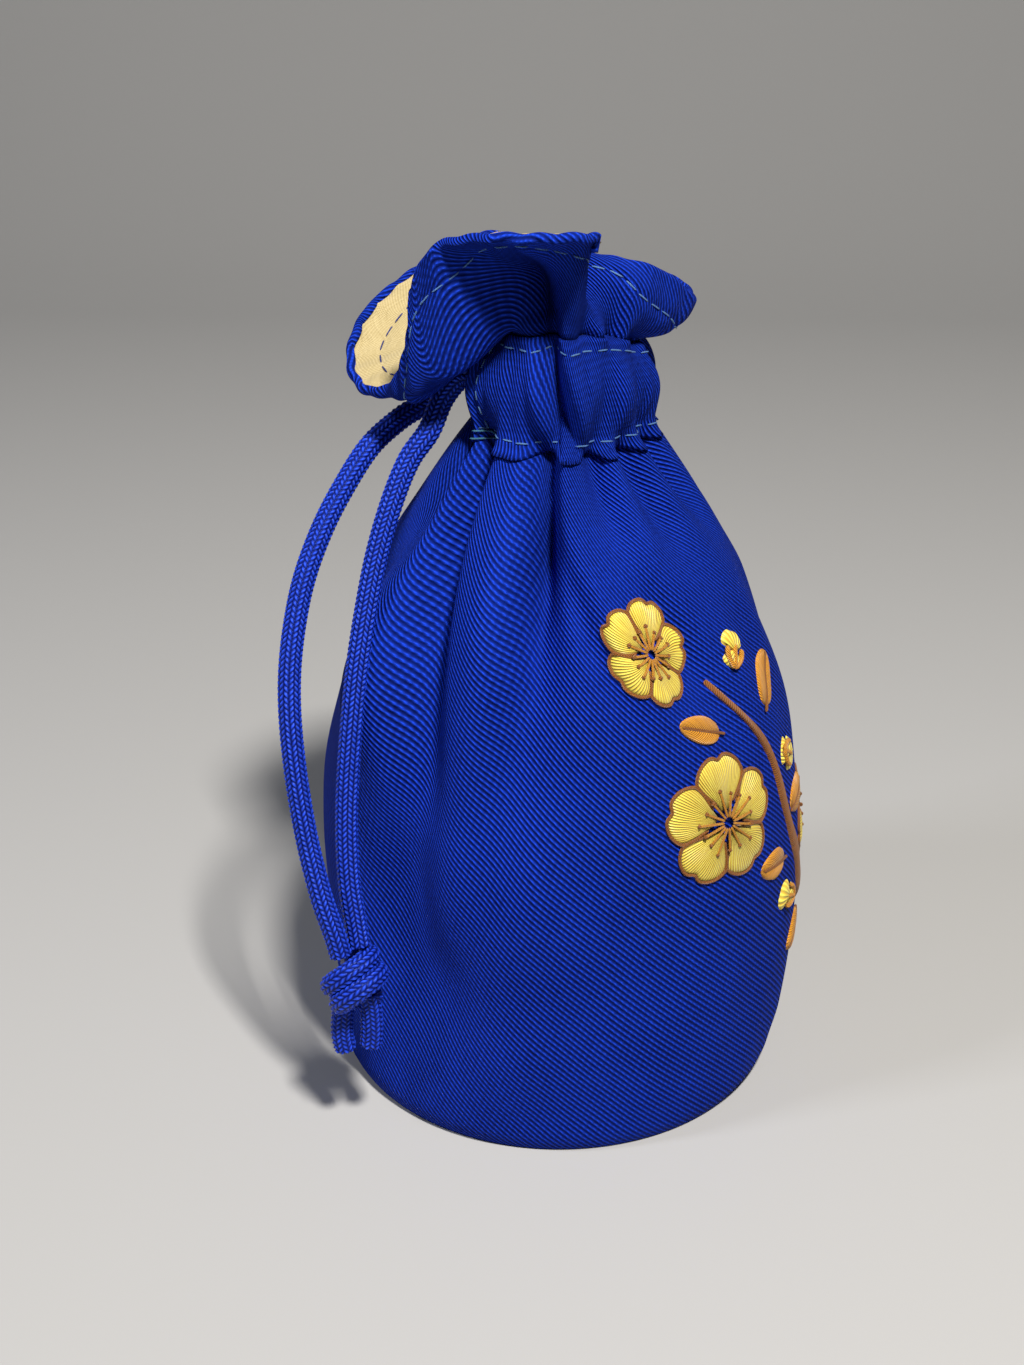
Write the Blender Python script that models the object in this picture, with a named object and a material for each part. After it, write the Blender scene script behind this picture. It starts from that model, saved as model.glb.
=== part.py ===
"""Kinchaku drawstring pouch, built as it is sewn.

A twill side panel stands on a round twill base, domes in to a gathered neck and opens
above it as a ruffle. A lining of its own hangs inside, and the two meet at the rim. A
casing band, open on the left, is stitched round the neck over a braided cord, whose two
ends hang on the left and share one overhand knot. A sprig of blossom is embroidered on
the front right.

The cloth is one surface of two values: the cloth azimuth, in degrees round the base, and
the height up the cloth. Azimuth 0 is the front, -Y, and +90 is +X. Every piece of cloth
takes its place from that surface. Metres, +Z up, the origin on the floor under the base.
"""

import math

import bmesh
import bpy
import numpy as np

MM = 0.001

# Cloth, and the air that one layer keeps to the next
TWILL_THICKNESS = 0.6 * MM
LINING_THICKNESS = 0.4 * MM
LAYER_GAP = 0.25 * MM

# Body
BODY_RADIUS = 46.3 * MM
SHOULDER_HEIGHT = 48.0 * MM
NECK_HEIGHT = 139.0 * MM
NECK_RADIUS = 15.6 * MM
SHOULDER_FULLNESS = 2.35
SEAM_HEIGHT = 5.0 * MM
SEAM_INSET = 1.7 * MM
PANEL_FOOT = 0.3 * MM

# Base
BASE_THICKNESS = 1.0 * MM
BASE_GAP = 0.35 * MM
LINING_FOOT = 1.6 * MM

# Neck, from the lower to the upper stitching of the casing
NECK_TOP_HEIGHT = 157.0 * MM
NECK_TOP_RADIUS = 14.5 * MM
CINCH = 4.2 * MM
NECK_OPENING = 0.35
LEFT_DIP = 5.0 * MM
LEFT_DIP_WIDTH = 24.0
RIGHT_DIP = 4.0 * MM
RIGHT_DIP_WIDTH = 34.0

# Folds that the drawn cord leaves: cloth azimuth, azimuth at the neck, depth, half width
# of cloth, and the height where the fold has run out
FOLDS = (
    (-160.0, -172.0, 8.0 * MM, 6.5 * MM, 113.0 * MM),
    (-132.0, -138.0, 8.5 * MM, 7.0 * MM, 98.0 * MM),
    (-100.0, -105.0, 7.5 * MM, 6.0 * MM, 112.0 * MM),
    (-58.0, -75.0, 7.0 * MM, 6.0 * MM, 108.0 * MM),
    (-12.0, -47.0, 9.0 * MM, 6.0 * MM, 58.0 * MM),
    (6.0, -9.0, 9.0 * MM, 5.0 * MM, 98.0 * MM),
    (34.0, 18.0, 8.0 * MM, 6.0 * MM, 117.0 * MM),
    (60.0, 43.0, 8.5 * MM, 6.0 * MM, 112.0 * MM),
    (86.0, 68.0, 8.0 * MM, 6.0 * MM, 115.0 * MM),
    (114.0, 95.0, 8.5 * MM, 6.5 * MM, 105.0 * MM),
    (143.0, 125.0, 8.0 * MM, 6.0 * MM, 112.0 * MM),
    (172.0, 155.0, 8.5 * MM, 6.5 * MM, 100.0 * MM),
)
FOLD_FULL_HEIGHT = 133.0 * MM
FOLD_LIMIT = 0.40
GATHER_FULLNESS = 1.6
STEEPEST_FLANK = 1.35
PROFILE_LEAN = 0.5
SLOPE_TURN = 0.5
SLOPE_STEP = 0.01
LEAST_LEAN = 0.01
RUFFLE_EASE = 0.6
PLEAT_EASE = 2.2
# Handles of the ruffle's curve from neck to rim, for a rim that lies level and one upright
LOWER_REACH = (0.33, 0.08)
UPPER_REACH = (0.67, 0.50)
LOWER_CLIMB = 0.5
UPPER_CLIMB = 0.92
UPPER_DROP = 0.5
LOWER_LIFT = 1.5 * MM
UPPER_LIFT = 1.0 * MM

# Ruffle: its rim as it stands open, from the left tip round by the front, and the cloth
# azimuth that some of its points have
RIM_ANCHORS = ((0, -92.0), (9, 17.0), (12, 36.0), (17, 98.0), (22, 188.0))
RIM_POINTS = (
    (-42.6, 0.0, 148.4),
    (-40.8, -6.5, 144.3),
    (-37.2, -12.0, 147.6),
    (-31.5, -16.0, 159.5),
    (-27.0, -16.5, 170.5),
    (-22.0, -20.5, 175.6),
    (-14.0, -25.0, 177.6),
    (-5.0, -26.5, 178.2),
    (2.0, -25.6, 179.3),
    (4.6, -22.2, 179.4),
    (2.2, -17.6, 179.0),
    (-3.4, -13.0, 177.0),
    (-6.6, -8.6, 174.6),
    (-3.0, -4.6, 173.4),
    (5.0, -4.6, 172.6),
    (13.6, -6.0, 170.6),
    (20.4, -3.0, 166.0),
    (23.6, 4.5, 160.5),
    (22.6, 12.5, 161.5),
    (17.5, 20.5, 161.5),
    (9.5, 25.5, 161.0),
    (2.0, 23.5, 163.0),
    (-5.5, 21.0, 167.0),
    (-13.6, 23.5, 169.4),
    (-21.0, 22.0, 167.0),
    (-29.0, 17.5, 164.0),
    (-36.6, 12.0, 159.4),
    (-41.4, 6.0, 154.0),
)

# Casing band over the cord
CASING_FRONT = -66.0
CASING_BACK = 248.0
CASING_LOW = 0.03
CASING_HIGH = 0.95
TUNNEL_RADIUS = 16.4 * MM
TUNNEL_PUFF = 0.7 * MM
TUNNEL_FULLNESS = 0.55
RIPPLE_DEPTH = 6.0 * MM
MOUTH_FLARE = 2.0 * MM
MOUTH_WIDTH = 9.0

# Cord
CORD_DIAMETER = 4.2 * MM
CORD_SIDES = 2
CORD_LOOP_RADIUS = 13.35 * MM
LOOP_OVERRUN = 4.0
CORD_GAP = 0.9 * MM
CORD_STEP = 2.0
FRONT_ROUTE = (
    (-16.1, -5.1, 146.6),
    (-19.1, -4.2, 145.7),
    (-22.2, -5.0, 142.0),
    (-24.7, -7.5, 136.6),
    (-28.3, -9.5, 131.7),
    (-31.3, -12.5, 124.9),
    (-34.0, -16.0, 116.3),
    (-35.9, -19.5, 107.5),
    (-37.6, -23.5, 97.2),
    (-38.8, -27.0, 86.4),
    (-39.7, -30.0, 75.2),
    (-40.0, -32.8, 65.7),
    (-39.6, -35.4, 56.1),
    (-38.5, -37.4, 48.4),
    (-37.7, -38.8, 43.7),
)
BACK_ROUTE = (
    (-16.1, 4.8, 146.6),
    (-19.1, 3.5, 145.7),
    (-22.4, 2.6, 142.6),
    (-25.8, 2.2, 139.0),
    (-30.7, 0.6, 136.2),
    (-36.2, -3.4, 132.0),
    (-41.2, -8.0, 125.0),
    (-44.8, -12.4, 118.6),
    (-47.7, -17.0, 111.3),
    (-49.4, -21.0, 103.8),
    (-50.3, -25.0, 95.6),
    (-50.2, -28.5, 86.8),
    (-49.1, -31.8, 75.8),
    (-47.2, -35.0, 64.4),
    (-44.6, -38.6, 54.6),
    (-42.2, -40.6, 47.6),
    (-41.0, -41.3, 43.2),
)
KNOT_CENTRE = (-38.6, -40.4, 36.8)
KNOT_TILT = 28.0
KNOT_TURN = -45.0
KNOT_RADIUS = 7.0 * MM
KNOT_LENGTH = 13.0 * MM
KNOT_WRAPS = 3
KNOT_GROOVE = 0.7 * MM
KNOT_ROUNDNESS = 0.55
FRONT_TAIL = (
    (-35.9, -40.0, 30.4),
    (-35.8, -40.2, 25.4),
    (-36.2, -40.2, 21.4),
)
BACK_TAIL = (
    (-41.2, -40.6, 30.4),
    (-41.6, -40.8, 25.2),
    (-41.0, -41.0, 20.8),
)

# Bar tacks on the corners of the casing
BARTACK_LENGTH = 6.0 * MM
BARTACK_INSET = 0.4 * MM
BARTACK_GAP = 1.1 * MM
BARTACK_RISE = 0.5
BARTACK_THICKNESS = 0.6 * MM

# Embroidery: thread pads on the front right, placed by millimetres of cloth and height
MOTIF_AZIMUTH = 54.0
PAD_THICKNESS = 0.6 * MM
BRANCH_ROUTE = ((36.0, 24.0), (26.5, 36.0), (18.5, 50.0), (12.5, 64.0), (7.5, 80.0), (-3.0, 96.0))
BRANCH_WIDTH = 3.6 * MM
BRANCH_TIP = 1.2 * MM
PETAL_NOTCH = 0.74
BUD_TAPER = 0.85
BLOSSOMS = (
    ("blossom_large", -8.0, 70.0, 13.0, 12.0),
    ("blossom_low", 34.0, 51.0, 10.5, 40.0),
    ("blossom_high", -13.5, 104.0, 9.0, -10.0),
)
BUDS = (
    ("bud_right", 17.5, 73.0, 4.2, -35.0),
    ("bud_low", 12.5, 43.0, 3.8, 150.0),
    ("bud_top", 5.5, 99.5, 3.6, 60.0),
)
LEAVES = (
    ("leaf_top", 14.5, 90.5, 11.0, 3.2, 50.0),
    ("leaf_left", -8.5, 88.5, 10.0, 2.6, 155.0),
    ("leaf_middle", 21.5, 62.0, 10.0, 3.2, 12.0),
    ("leaf_inner", 5.5, 54.0, 10.0, 3.2, 168.0),
    ("leaf_low", 39.0, 34.5, 10.0, 3.2, 24.0),
    ("leaf_foot", 20.5, 29.5, 10.0, 3.2, 200.0),
)

# How finely the solids are cut
PLEAT_STEPS = (0.0, 0.18, 0.38, 0.62, 0.82)
PANEL_ROWS = (0.3, 2.5, 6.0, 60.0, 85.0, 103.0, 117.0, 127.0, 134.0, 139.0)
LINING_ROWS = (2.0, 60.0, 85.0, 103.0, 117.0, 127.0, 134.0, 139.0)
NECK_ROWS = (0.5, 1.0)
RUFFLE_ROWS = (0.36, 0.7, 1.0)
CASING_ROWS = (0.0, 0.2, 0.38, 0.62, 0.8, 1.0)
BASE_SIDES = 60
PATH_STEPS = 24
LOOP_STEPS = 49
KNOT_ROUND_STEPS = 20
KNOT_LONG_STEPS = 12
BRANCH_STEPS = 12
BLOSSOM_STEPS = 20
LEAF_STEPS = 12
SHARP_ANGLE = 50.0

ROYAL_BLUE = (0.012, 0.045, 0.50)
NATURAL = (0.76, 0.68, 0.40)
CORD_BLUE = (0.02, 0.06, 0.45)
THREAD_GOLD = (0.82, 0.62, 0.05)
THREAD_ORANGE = (0.80, 0.33, 0.02)
THREAD_BROWN = (0.30, 0.10, 0.02)
THREAD_PALE = (0.16, 0.42, 0.80)


def smoothstep(value):
    value = np.clip(value, 0.0, 1.0)
    return value * value * (3.0 - 2.0 * value)


def fold_table():
    return np.array(FOLDS)


def neck_azimuth(cloth):
    """Azimuth at the neck of each cloth azimuth: the folds carry it, evenly between two of them."""
    table = fold_table()
    at_base = np.concatenate([table[:, 0] - 360.0, table[:, 0], table[:, 0] + 360.0])
    at_neck = np.concatenate([table[:, 1] - 360.0, table[:, 1], table[:, 1] + 360.0])
    return np.interp(cloth, at_base, at_neck)


def cloth_azimuth(neck):
    """The cloth azimuth that lies at an azimuth of the neck."""
    table = fold_table()
    at_base = np.concatenate([table[:, 0] - 360.0, table[:, 0], table[:, 0] + 360.0])
    at_neck = np.concatenate([table[:, 1] - 360.0, table[:, 1], table[:, 1] + 360.0])
    return np.interp(neck, at_neck, at_base)


def cloth_columns():
    """Cloth azimuths of the columns: the same steps from each fold to the next."""
    starts = fold_table()[:, 0]
    ends = np.append(starts[1:], starts[0] + 360.0)
    steps = np.array(PLEAT_STEPS)
    return (starts[:, None] + (ends - starts)[:, None] * steps[None, :]).ravel()


def body_radius(height):
    """A cylinder with a turned-in foot, then a dome in to the neck."""
    dome = np.clip((height - SHOULDER_HEIGHT) / (NECK_HEIGHT - SHOULDER_HEIGHT), 0.0, 1.0)
    foot = np.clip(1.0 - height / SEAM_HEIGHT, 0.0, 1.0)
    return BODY_RADIUS - (BODY_RADIUS - NECK_RADIUS) * dome**SHOULDER_FULLNESS - SEAM_INSET * foot**2


def neck_radius(share):
    """From the neck's foot to its top, drawn in at the cord."""
    return NECK_RADIUS + (NECK_TOP_RADIUS - NECK_RADIUS) * share - CINCH * np.sin(math.pi * share)


def turn_between(azimuth, centre):
    return (azimuth - centre + 180.0) % 360.0 - 180.0


def neck_top(azimuth):
    """Height of the neck's top, lower where the ruffle lies over to the left and the right."""
    left = LEFT_DIP * np.exp(-((turn_between(azimuth, -90.0) / LEFT_DIP_WIDTH) ** 2))
    right = RIGHT_DIP * np.exp(-((turn_between(azimuth, 85.0) / RIGHT_DIP_WIDTH) ** 2))
    return NECK_TOP_HEIGHT - left - right


def fold_depth(cloth, height, radius):
    """Sum of the folds at a place, each a bell across the cloth that fades out downwards."""
    total = np.zeros(np.broadcast(cloth, height).shape)
    for at_base, _, depth, width, lowest in FOLDS:
        across = np.radians(turn_between(cloth, at_base)) * BODY_RADIUS
        fade = smoothstep((height - lowest) / (FOLD_FULL_HEIGHT - lowest))
        total = total + depth * fade * np.exp(-((across / width) ** 2))
    limit = FOLD_LIMIT * radius
    return limit * np.tanh(total / limit)


def around(azimuth, radius, height):
    angle = np.radians(azimuth)
    radius, height = np.broadcast_arrays(radius, height)
    return np.stack([radius * np.sin(angle), -radius * np.cos(angle), height + 0.0 * angle], axis=-1)


def body_points(cloth, height):
    """The side panel below the neck, by cloth azimuth and height."""
    rise = np.clip((height - SHOULDER_HEIGHT) / (NECK_HEIGHT - SHOULDER_HEIGHT), 0.0, 1.0)
    azimuth = cloth + (neck_azimuth(cloth) - cloth) * rise**GATHER_FULLNESS
    radius = body_radius(height)
    return around(azimuth, radius - fold_depth(cloth, height, radius), height)


def neck_points(cloth, share, folded=1.0):
    """The side panel inside the casing, by cloth azimuth and share of the neck's height."""
    azimuth = neck_azimuth(cloth)
    height = NECK_HEIGHT + (neck_top(azimuth) - NECK_HEIGHT) * share
    radius = neck_radius(share)
    eased = folded * (1.0 - NECK_OPENING * share)
    return around(azimuth, radius - eased * fold_depth(cloth, height, radius), height)


def smooth_path(points, closed=False, steps=PATH_STEPS):
    """Many points of a Catmull-Rom curve through a few, and the distance along it to each."""
    points = np.asarray(points, float)
    if closed:
        padded = np.concatenate([points[-1:], points, points[:2]])
    else:
        first = 2.0 * points[0] - points[1]
        last = 2.0 * points[-1] - points[-2]
        padded = np.concatenate([[first], points, [last]])
    before, start, end, after = padded[:-3], padded[1:-2], padded[2:-1], padded[3:]
    t = (np.arange(steps) / steps)[None, :, None]
    before, start, end, after = (side[:, None, :] for side in (before, start, end, after))
    curve = 0.5 * (
        2.0 * start
        + (end - before) * t
        + (2.0 * before - 5.0 * start + 4.0 * end - after) * t**2
        + (3.0 * start - before - 3.0 * end + after) * t**3
    )
    curve = np.concatenate([curve.reshape(-1, points.shape[1]), padded[-2:-1]])
    run = np.concatenate([[0.0], np.cumsum(np.linalg.norm(np.diff(curve, axis=0), axis=1))])
    return curve, run


def read_path(curve, run, distance):
    axes = range(curve.shape[1])
    return np.stack([np.interp(distance, run, curve[:, axis]) for axis in axes], axis=-1)


def rim_points(cloth):
    """The rim at each cloth azimuth: even shares of its length between two anchored points."""
    curve, run = smooth_path(np.array(RIM_POINTS) * MM, closed=True)
    first = RIM_ANCHORS[0][1]
    azimuths = [azimuth for _, azimuth in RIM_ANCHORS] + [first + 360.0]
    distances = [run[point * PATH_STEPS] for point, _ in RIM_ANCHORS] + [run[-1]]
    return read_path(curve, run, np.interp((cloth - first) % 360.0 + first, azimuths, distances))


def ruffle_points(cloth, share, folded=1.0):
    """A cubic curve in each column from the neck's top to the rim: up first, then out.

    The neck's pleats ease out on the way."""
    left = np.clip(1.0 - share, 0.0, 1.0)
    foot = neck_points(cloth, np.ones_like(share), folded * left**PLEAT_EASE)
    rim = rim_points(cloth + 0.0 * share)
    chord = rim - foot
    climb = np.maximum(chord[..., 2], 0.0)
    drop = np.minimum(chord[..., 2], 0.0)
    upright = climb / np.linalg.norm(chord, axis=-1)
    lower_reach = LOWER_REACH[0] + (LOWER_REACH[1] - LOWER_REACH[0]) * upright
    upper_reach = UPPER_REACH[0] + (UPPER_REACH[1] - UPPER_REACH[0]) * upright
    lower = foot + chord * lower_reach[..., None]
    lower[..., 2] = foot[..., 2] + LOWER_CLIMB * climb + LOWER_LIFT
    upper = foot + chord * upper_reach[..., None]
    upper[..., 2] = foot[..., 2] + UPPER_CLIMB * climb + UPPER_DROP * drop + UPPER_LIFT
    t = share[..., None]
    return (
        foot * (1.0 - t) ** 3
        + 3.0 * lower * t * (1.0 - t) ** 2
        + 3.0 * upper * t**2 * (1.0 - t)
        + rim * t**3
    )


def flank_factor(lean):
    """What a wall must gain along a direction that leans from its normal to keep its thickness."""
    return np.minimum(1.0 / np.maximum(np.abs(lean), LEAST_LEAN), STEEPEST_FLANK)


def profile_inward(cloth, height, place):
    """Into the body, square to its outline, and lengthened on the flank of a fold."""
    turn, step = SLOPE_TURN, SLOPE_STEP
    if place == "body":
        points = body_points
        slope = (body_radius(height + step * MM) - body_radius(height - step * MM)) / (2.0 * step * MM)
    else:
        points = neck_points
        rise = neck_top(neck_azimuth(cloth)) - NECK_HEIGHT
        slope = (neck_radius(height + step) - neck_radius(height - step)) / (2.0 * step * rise)
    radial = points(cloth, height) * (1.0, 1.0, 0.0)
    radial /= np.linalg.norm(radial, axis=-1)[..., None]
    across = (points(cloth + turn, height) - points(cloth - turn, height)) * (1.0, 1.0, 0.0)
    across /= np.linalg.norm(across, axis=-1)[..., None]
    flank = flank_factor(np.linalg.norm(np.cross(across, radial), axis=-1))
    slope = slope * PROFILE_LEAN
    upright = 1.0 / np.hypot(1.0, slope)
    inward = -radial * (flank * upright)[..., None]
    inward[..., 2] = slope * upright
    return inward


def surface_normal(points, cloth, share, folded):
    turn, rise = SLOPE_TURN, SLOPE_STEP
    across = points(cloth + turn, share, folded) - points(cloth - turn, share, folded)
    up = points(cloth, share + rise, folded) - points(cloth, share - rise, folded)
    normal = np.cross(across, up)
    return normal / np.linalg.norm(normal, axis=-1)[..., None]


def ruffle_inward(cloth, share):
    """Square to the ruffle as it would hang without pleats, lengthened on the flank of a pleat,
    and eased into the neck's own direction at its foot."""
    plain = surface_normal(ruffle_points, cloth, share, 0.0)
    pleated = surface_normal(ruffle_points, cloth, share, 1.0)
    inward = -plain * flank_factor((plain * pleated).sum(-1))[..., None]
    at_foot = profile_inward(cloth, np.ones_like(share), "neck")
    blend = smoothstep(share / RUFFLE_EASE)[..., None]
    return at_foot * (1.0 - blend) + inward * blend


def cloth_layer(columns, heights, depth):
    """Grid of points of one cloth surface, rows upwards, sunk by a depth under the outer one."""
    rows = []
    for height in heights:
        level = np.full(len(columns), height * MM)
        rows.append(body_points(columns, level) + depth * profile_inward(columns, level, "body"))
    for share in NECK_ROWS:
        level = np.full(len(columns), share)
        rows.append(neck_points(columns, level) + depth * profile_inward(columns, level, "neck"))
    for share in RUFFLE_ROWS:
        level = np.full(len(columns), share)
        rows.append(ruffle_points(columns, level) + depth * ruffle_inward(columns, level))
    return np.array(rows)


def material(name, colour, roughness):
    made = bpy.data.materials.new(name)
    made.use_nodes = True
    shader = made.node_tree.nodes["Principled BSDF"]
    shader.inputs["Base Color"].default_value = (*colour, 1.0)
    shader.inputs["Roughness"].default_value = roughness
    made.diffuse_color = (*colour, 1.0)
    return made


def add_mesh(name, points, faces, finish):
    """One closed mesh object, its faces turned outwards."""
    mesh = bpy.data.meshes.new(name)
    mesh.from_pydata([tuple(point) for point in points], [], faces)
    shape = bmesh.new()
    shape.from_mesh(mesh)
    bmesh.ops.recalc_face_normals(shape, faces=shape.faces)
    shape.to_mesh(mesh)
    shape.free()
    mesh.shade_smooth()
    mesh.set_sharp_from_angle(angle=math.radians(SHARP_ANGLE))
    mesh.materials.append(finish)
    placed = bpy.data.objects.new(name, mesh)
    bpy.context.collection.objects.link(placed)
    return placed


def grid_faces(rows, columns, closed, start=0):
    """Triangles between the points of a grid, round the seam too when it closes on itself.

    Every cell is cut along the same diagonal, so that layers a wall apart stay parallel."""
    faces = []
    for row in range(rows - 1):
        for column in range(columns if closed else columns - 1):
            low = start + row * columns + column
            beside = start + row * columns + (column + 1) % columns
            faces.append((low, beside, beside + columns))
            faces.append((low, beside + columns, low + columns))
    return faces


def add_wall(name, outer, inner, finish, closed):
    """A sheet with thickness: two grids, joined along every free edge."""
    rows, columns = outer.shape[:2]
    points = np.concatenate([outer.reshape(-1, 3), inner.reshape(-1, 3)])
    under = rows * columns
    faces = grid_faces(rows, columns, closed)
    faces += [tuple(reversed(face)) for face in grid_faces(rows, columns, closed, under)]
    last = (rows - 1) * columns
    for column in range(columns if closed else columns - 1):
        beside = (column + 1) % columns
        faces.append((beside, column, under + column, under + beside))
        faces.append((last + column, last + beside, under + last + beside, under + last + column))
    if not closed:
        for row in range(rows - 1):
            low, high = row * columns, (row + 1) * columns
            faces.append((low, high, under + high, under + low))
            low, high = low + columns - 1, high + columns - 1
            faces.append((high, low, under + low, under + high))
    return add_mesh(name, points, faces, finish)


def add_side_panels(twill, lining):
    columns = cloth_columns()
    outer = cloth_layer(columns, PANEL_ROWS, 0.0)
    inner = cloth_layer(columns, PANEL_ROWS, TWILL_THICKNESS)
    add_wall("outer_side_panel", outer, inner, twill, closed=True)
    face = TWILL_THICKNESS + LAYER_GAP
    outer = cloth_layer(columns, LINING_ROWS, face)
    inner = cloth_layer(columns, LINING_ROWS, face + LINING_THICKNESS)
    add_wall("lining_side_panel", outer, inner, lining, closed=True)


def add_disc(name, radius, low, thickness, finish):
    shape = bmesh.new()
    bmesh.ops.create_cone(
        shape,
        cap_ends=True,
        segments=BASE_SIDES,
        radius1=radius,
        radius2=radius,
        depth=thickness,
    )
    bmesh.ops.translate(shape, verts=shape.verts, vec=(0.0, 0.0, low + thickness / 2.0))
    mesh = bpy.data.meshes.new(name)
    shape.to_mesh(mesh)
    shape.free()
    mesh.materials.append(finish)
    placed = bpy.data.objects.new(name, mesh)
    bpy.context.collection.objects.link(placed)
    return placed


def add_bases(twill, lining):
    panel_foot = body_radius(np.array(PANEL_FOOT)) - TWILL_THICKNESS
    add_disc("outer_base", float(panel_foot) - BASE_GAP, 0.0, BASE_THICKNESS, twill)
    lining_low = BASE_THICKNESS + LAYER_GAP
    lining_edge = body_radius(np.array(LINING_FOOT)) - TWILL_THICKNESS - LAYER_GAP - LINING_THICKNESS
    add_disc("lining_base", float(lining_edge) - 2.0 * BASE_GAP, lining_low, LINING_THICKNESS, lining)


def mouth_flare(azimuth):
    """How far the band and its cord lean out towards each mouth."""
    front = np.exp((CASING_FRONT - azimuth) / MOUTH_WIDTH)
    back = np.exp((azimuth - CASING_BACK) / MOUTH_WIDTH)
    return MOUTH_FLARE * (front + back)


def casing_row(columns, row, depth):
    """The band's inner face plus a depth, at a share of its height: on the panel along both
    stitched edges, and out over the cord between them."""
    azimuth = neck_azimuth(columns)
    fold = fold_depth(columns, np.full_like(columns, NECK_TOP_HEIGHT), 1.0)
    ridge = 1.0 - np.clip(fold / RIPPLE_DEPTH, 0.0, 1.0)
    level = np.full(len(columns), CASING_LOW + (CASING_HIGH - CASING_LOW) * row)
    seat = neck_points(columns, level)
    seat_radius = np.hypot(seat[:, 0], seat[:, 1])
    flank = np.linalg.norm(profile_inward(columns, level, "neck"), axis=-1)
    bulge = math.sin(math.pi * row) ** TUNNEL_FULLNESS if 0.0 < row < 1.0 else 0.0
    tunnel = TUNNEL_RADIUS + TUNNEL_PUFF * ridge + mouth_flare(azimuth)
    radius = (seat_radius + LAYER_GAP * flank) * (1.0 - bulge) + tunnel * bulge
    out = depth * (flank * (1.0 - bulge) + bulge)
    return around(azimuth, radius + out, seat[:, 2])


def casing_columns():
    first = float(cloth_azimuth(CASING_FRONT))
    last = float(cloth_azimuth(CASING_BACK))
    columns = np.concatenate([cloth_columns(), cloth_columns() + 360.0])
    between = columns[(columns > first + 1.0) & (columns < last - 1.0)]
    return np.concatenate([[first], between, [last]])


def add_casing(twill):
    columns = casing_columns()
    inner = np.array([casing_row(columns, row, 0.0) for row in CASING_ROWS])
    outer = np.array([casing_row(columns, row, TWILL_THICKNESS) for row in CASING_ROWS])
    add_wall("cord_casing", outer, inner, twill, closed=False)


def add_tube(name, curve, run, start, end, radius, finish):
    """A cord as a bevelled curve, with a point every few diameters of a smooth path."""
    count = max(3, int(math.ceil((end - start) / (2.0 * radius * CORD_STEP))) + 1)
    points = read_path(curve, run, np.linspace(start, end, count))
    data = bpy.data.curves.new(name, "CURVE")
    data.dimensions = "3D"
    data.bevel_depth = radius
    data.bevel_resolution = CORD_SIDES
    data.use_fill_caps = True
    data.render_resolution_u = 0
    spline = data.splines.new("POLY")
    spline.points.add(count - 1)
    for place, point in zip(spline.points, points):
        place.co = (*point, 1.0)
    data.materials.append(finish)
    placed = bpy.data.objects.new(name, data)
    bpy.context.collection.objects.link(placed)
    return placed


def loop_points():
    """The cord's stretch inside the casing, leaning out at both mouths."""
    azimuth = np.linspace(CASING_FRONT - LOOP_OVERRUN, CASING_BACK + LOOP_OVERRUN, LOOP_STEPS)
    top = neck_top(azimuth)
    height = NECK_HEIGHT + 0.5 * (CASING_LOW + CASING_HIGH) * (top - NECK_HEIGHT)
    return around(azimuth, CORD_LOOP_RADIUS + mouth_flare(azimuth), height)


def add_cords(cord):
    radius = CORD_DIAMETER / 2.0
    curve, run = smooth_path(loop_points(), steps=4)
    add_tube("drawstring_neck_loop", curve, run, 0.0, run[-1], radius, cord)
    for name, route in (("front", FRONT_ROUTE), ("back", BACK_ROUTE)):
        curve, run = smooth_path(np.array(route) * MM)
        add_tube(f"drawstring_{name}_strand", curve, run, CORD_GAP, run[-1], radius, cord)
    for name, route in (("front", FRONT_TAIL), ("back", BACK_TAIL)):
        curve, run = smooth_path(np.array(route) * MM)
        add_tube(f"drawstring_{name}_end", curve, run, 0.0, run[-1], radius, cord)


def add_knot(cord):
    """A barrel with a groove between each two wraps, its axis tipped as the knot was drawn tight."""
    length = np.linspace(0.0, 1.0, KNOT_LONG_STEPS + 1)[1:-1]
    barrel = KNOT_RADIUS * np.sin(math.pi * length) ** KNOT_ROUNDNESS
    groove = KNOT_GROOVE * (0.5 - 0.5 * np.cos(2.0 * math.pi * KNOT_WRAPS * length))
    radius = barrel - KNOT_GROOVE + groove
    height = (length - 0.5) * KNOT_LENGTH
    angle = np.linspace(0.0, 2.0 * math.pi, KNOT_ROUND_STEPS, endpoint=False)
    rings = np.stack(
        [
            radius[:, None] * np.cos(angle)[None, :],
            radius[:, None] * np.sin(angle)[None, :],
            height[:, None] + 0.0 * angle[None, :],
        ],
        axis=-1,
    )
    poles = [[0.0, 0.0, -KNOT_LENGTH / 2.0], [0.0, 0.0, KNOT_LENGTH / 2.0]]
    points = np.concatenate([rings.reshape(-1, 3), poles])
    faces = grid_faces(len(radius), KNOT_ROUND_STEPS, True)
    last = (len(radius) - 1) * KNOT_ROUND_STEPS
    foot, head = len(points) - 2, len(points) - 1
    for step in range(KNOT_ROUND_STEPS):
        beside = (step + 1) % KNOT_ROUND_STEPS
        faces.append((beside, step, foot))
        faces.append((last + step, last + beside, head))
    knot = add_mesh("drawstring_knot", points, faces, cord)
    knot.location = [value * MM for value in KNOT_CENTRE]
    knot.rotation_euler = (0.0, math.radians(KNOT_TILT), math.radians(KNOT_TURN))
    return knot


def motif_points(across, height, depth):
    """Points on the outer cloth, by millimetres of cloth from the motif's middle and height."""
    radius = body_radius(height)
    cloth = MOTIF_AZIMUTH + np.degrees(across / radius)
    return body_points(cloth, height) + depth * profile_inward(cloth, height, "body")


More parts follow.
